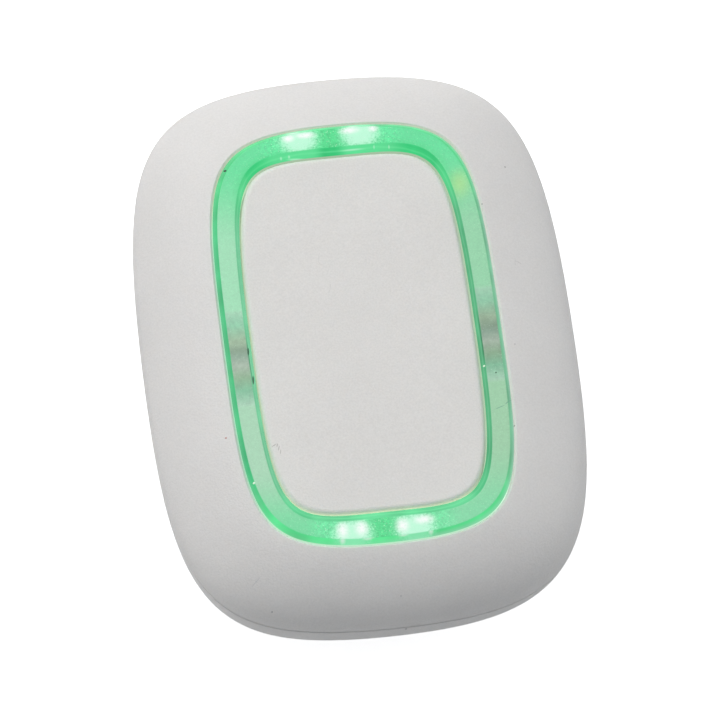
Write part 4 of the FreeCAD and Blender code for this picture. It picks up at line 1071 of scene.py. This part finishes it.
def make_capacitors():
    places = [
        (CAPACITOR_X + COLUMN_STEP * column, CAPACITOR_Y + ROW_STEP * row, BOARD_TOP)
        for column in range(2)
        for row in range(4)
    ]
    values = {
        "Length": 1.6 * MM,
        "Width": 0.8 * MM,
        "Cap Length": 0.35 * MM,
        "Step": 0.05 * MM,
        "Material": MATERIALS["capacitor_ceramic"],
    }
    start = points_mesh("capacitor_places", places)
    return shape_mesh("chip_capacitors_tinned", start, make_capacitor_tree(), values, bevel=0.04)


def dress_nodes():
    """Puts each CAD node's material on it."""
    slots = {part["node"]: part["material_slot"] for part in frame["record"]["subparts"]}
    for name, item in nodes.items():
        item.data.materials.clear()
        item.data.materials.append(MATERIALS[slots[name]])
    return slots


def stand_in(item, node):
    """Puts a finer piece in place of a CAD node."""
    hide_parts(node)
    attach(item, "housing")


def joined_copy(mesh):
    """A copy of a node's mesh whose faces share their border points, with sharp edges by angle."""
    copy = mesh.copy()
    skin = bmesh.new()
    skin.from_mesh(copy)
    bmesh.ops.remove_doubles(skin, verts=skin.verts, dist=0.0001 * MM)
    bmesh.ops.dissolve_degenerate(skin, edges=skin.edges, dist=0.0001 * MM)
    skin.to_mesh(copy)
    skin.free()
    if "custom_normal" in copy.attributes:
        copy.attributes.remove(copy.attributes["custom_normal"])
    copy.set_sharp_from_angle(angle=math.radians(30))
    return copy


def let_flex(node):
    """Puts a copy with joined faces in place of a node, in the part's frame. The real piece bends between the
    housing and a moving body.
    """
    item = new_object(f"{node}_flexing", joined_copy(nodes[node].data))
    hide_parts(node)
    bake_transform(item)


slots = dress_nodes()
let_flex("key_membrane")
let_flex("switch_dome")
screw_tree = make_screw_tree()
stand_in(make_light_ring(), "light_ring")
stand_in(make_seal(), "housing_seal")
for kind, (x, y), seat, length in SCREWS:
    stand_in(make_screws(f"{kind}_slotted", screw_tree, four_places(x, y, seat), length), kind)
stand_in(make_capacitors(), "chip_capacitors")


# Camera, lights and sheet.
def aim_camera():
    """The camera stands where the photograph's camera stood, found from the outlines in it."""
    azimuth, elevation, roll = math.radians(-18.25), math.radians(69.68), -0.1394  # roll in radians
    distance, target = 430.85 * MM, Vector((0.0, -0.80 * MM, 11.08 * MM))
    back = Vector((
        math.sin(azimuth) * math.cos(elevation),
        -math.cos(azimuth) * math.cos(elevation),
        math.sin(elevation),
    ))
    right = Vector((0, 1, 0)).cross(back).normalized()
    up = back.cross(right)
    image_right = right * math.cos(roll) + up * math.sin(roll)
    image_up = up * math.cos(roll) - right * math.sin(roll)
    data = bpy.data.cameras.new("photo_camera")
    # The lens's length as a share of the sensor's width.
    data.sensor_width = 36.0
    data.lens = 36.0 * 5352.5 / 720.0
    data.clip_start, data.clip_end = 0.01, 10.0
    camera = new_object("photo_camera", data)
    turn = Matrix((image_right, image_up, back)).transposed().to_4x4()
    camera.matrix_world = Matrix.Translation(target + back * distance) @ turn
    bpy.context.scene.camera = camera


def add_softbox(name, position, width, power, colour):
    """A square softbox that looks at the part."""
    data = bpy.data.lights.new(name, "AREA")
    data.shape, data.size, data.energy, data.color = "SQUARE", width, power, colour
    lamp = new_object(name, data)
    away = (Vector(position) - Vector((0, 0, 10 * MM))).normalized()
    lamp.matrix_world = Matrix.Translation(position) @ away.to_track_quat("Z", "Y").to_matrix().to_4x4()


SOFTBOXES = [
    ("key_softbox", (-0.25, 0.42, 0.55), 0.5, 2.3, (1.0, 0.982, 0.962)),
    ("top_softbox", (0.0, 0.62, 0.28), 0.5, 0.48, (1.0, 0.99, 0.98)),
    ("left_softbox", (-0.62, 0.1, 0.28), 0.5, 0.53, (1.0, 0.99, 0.98)),
    ("right_softbox", (0.62, 0.1, 0.28), 0.5, 0.70, (1.0, 1.0, 1.0)),
    ("overhead_softbox", (0.0, 0.1, 0.75), 0.5, 1.5, (1.0, 1.0, 1.0)),
]
WORLD_STRENGTH = 0.19
SHEET_TOP = -0.02


def light_scene():
    for name, position, width, power, colour in SOFTBOXES:
        add_softbox(name, position, width, power, colour)
    world = bpy.data.worlds.new("studio")
    world.use_nodes = True
    background = world.node_tree.nodes["Background"]
    background.inputs["Color"].default_value = (0.86, 0.93, 1.0, 1)
    background.inputs["Strength"].default_value = WORLD_STRENGTH
    bpy.context.scene.world = world
    bpy.context.scene.view_settings.view_transform = "Standard"


def lay_sheet():
    """A white sheet that shows as white to the camera and keeps the part's shadow."""
    mesh = bpy.data.meshes.new("sheet")
    corners = [(x, y, SHEET_TOP * MM) for x, y in ((-1, -1), (1, -1), (1, 1), (-1, 1))]
    mesh.from_pydata(corners, [], [(0, 1, 2, 3)])
    floor = new_object("sheet", mesh)
    material, net, shader = new_material("white_sheet")
    fibres = net.noise(net.place(), 900.0, 3.0)
    net.dress(shader, {
        "Base Color": net.mix(fibres, (0.78, 0.78, 0.78, 1), (0.82, 0.82, 0.82, 1)),
        "Roughness": 0.8,
    })
    seen = net.out(net.add("ShaderNodeLightPath"), "Is Camera Ray")
    net.dress(shader, {
        "Emission Color": (1, 1, 1, 1),
        "Emission Strength": seen * 0.72 + 0.08,
    })
    mesh.materials.append(material)


aim_camera()
light_scene()
lay_sheet()
